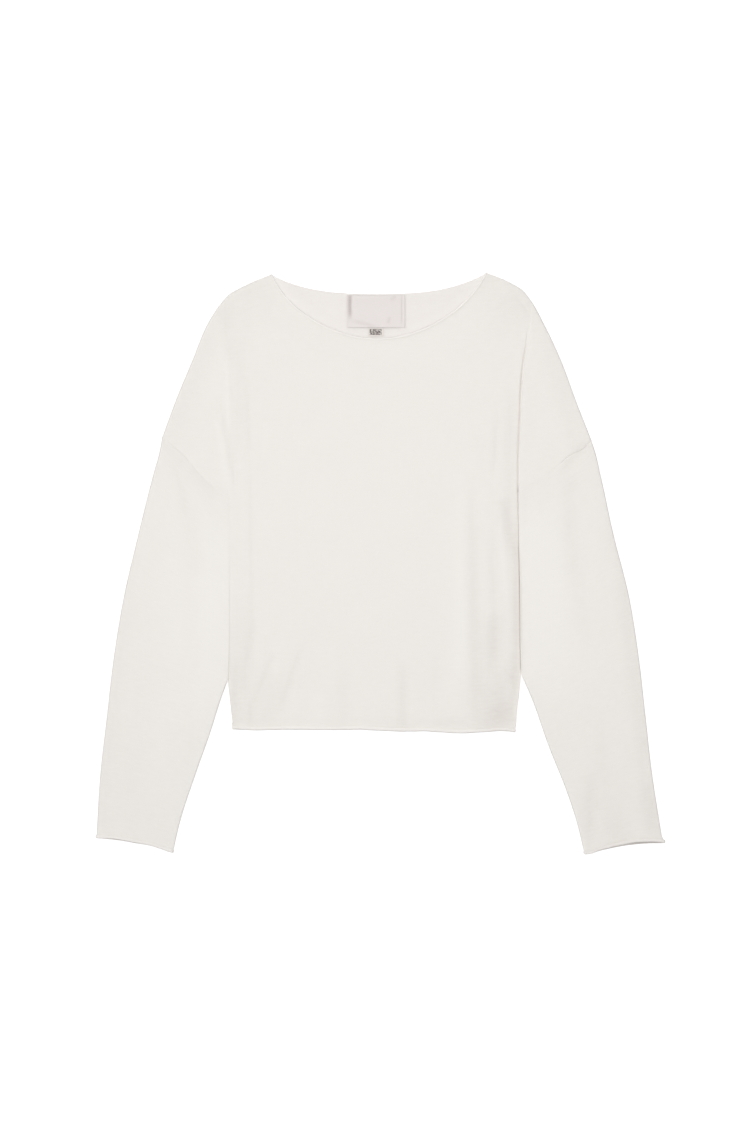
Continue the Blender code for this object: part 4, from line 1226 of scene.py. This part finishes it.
faceKnit = knitMaterial("faceKnit", "Face")
reverseKnit = knitMaterial("reverseKnit", "Reverse")
labelSatin = satinMaterial()
tabTape = tapeMaterial()
sewingThread = threadMaterial()
print("cloth ready")


def finishPiece(piece, wall, node):
    growWall(piece, wall)
    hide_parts(node)
    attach(piece, "root")


for panel in (frontPanel, backPanel):
    patches = halfPanel(panel, leftHalf) + halfPanel(panel, rightHalf)
    panel["piece"] = weave(panel["name"], patches, panel["up"] > 0, (faceKnit, reverseKnit))
    outerCount = len(panel["piece"].data.vertices)
    finishPiece(panel["piece"], lay["wall"], panel["node"])
    if panel["up"] < 0:  # only its inner side keeps the painted highlight around the neck
        for vert in panel["piece"].data.attributes["paintedLight"].data[:outerCount]:
            vert.value = min(vert.value, 0.0)
print("front and back knitted")

for half, name, node, area in ((leftHalf, "sleeveLeft", "sleeve_left", 0.099),
                               (rightHalf, "sleeveRight", "sleeve_right", 0.102)):
    tube = weave(name, wholeSleeve(half), None, (faceKnit, reverseKnit))
    finishPiece(tube, lay["wall"], node)
    seam = armholeStitches(half, name + "Linking", sewingThread)
    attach(seam, "root")
print("sleeves linked on")

ribbon = weave("neckLabel", labelPatches(neckLabel), True, (labelSatin,))
finishPiece(ribbon, neckLabel["wall"], "neck_label")
sewn = labelStitches(neckLabel, "neckLabelStitches", sewingThread)
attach(sewn, "root")
tab = weave("sizeTab", tabPatches(sizeTab), True, (tabTape,))
finishPiece(tab, sizeTab["wall"], "size_tab")
print("labels sewn in")


# floor, light and camera
studio = {
    "sky": {"Color": (1, 1, 1, 1), "Strength": 0.690},
    "lamps": {  # power, place and size
        "above": (7.5, (0.01, 0.22, 1.50), 0.9),
        "side": (55.0, (-4.4, 1.6, 4.2), 2.4),
    },
    "floorSize": 12, "floorHeight": -0.0003, "floorGlow": 0.80,
    "floorSurface": {"Base Color": (0.45, 0.45, 0.45, 1), "Roughness": 0.9, "Specular IOR Level": 0.0,
                     "Emission Color": (1, 1, 1, 1)},
}


def makeFloor():  # the camera sees it white, and the cloth gets a greyer light back from it
    bpy.ops.mesh.primitive_plane_add(size=studio["floorSize"], location=(0, 0, studio["floorHeight"]))
    floor = bpy.context.object
    floor.name = "floor"
    material, tree, shader = startMaterial("paleFloor", studio["floorSurface"])
    seen = tree.nodes.new("ShaderNodeLightPath").outputs["Is Camera Ray"]
    glow = calc(tree, "MULTIPLY", seen, studio["floorGlow"])
    tree.links.new(glow, shader.inputs["Emission Strength"])
    floor.data.materials.append(material)


makeFloor()

scene.world = bpy.data.worlds.new("softStudio")
scene.world.use_nodes = True
setInputs(scene.world.node_tree.nodes["Background"], studio["sky"])

for name, (energy, place, size) in studio["lamps"].items():
    light = bpy.data.lights.new(name, "AREA")
    light.shape = "DISK"
    light.size = size
    light.energy = energy
    lamp = bpy.data.objects.new(name, light)
    lamp.location = place
    lamp.visible_camera = False
    lamp.rotation_mode = "QUATERNION"
    lamp.rotation_quaternion = (-lamp.location).to_track_quat("-Z", "Y")
    scene.collection.objects.link(lamp)

view = {"distance": 3.0, "tallness": 1.2857, "aim": (-0.0058, 0.0010), "sensor": 36.0}
lens = bpy.data.cameras.new("camera")
lens.sensor_width = view["sensor"]
lens.lens = view["sensor"] * view["distance"] / view["tallness"]
camera = bpy.data.objects.new("camera", lens)
camera.location = (*view["aim"], view["distance"])
scene.collection.objects.link(camera)
scene.camera = camera
scene.view_settings.view_transform = "Standard"
print("studio ready")
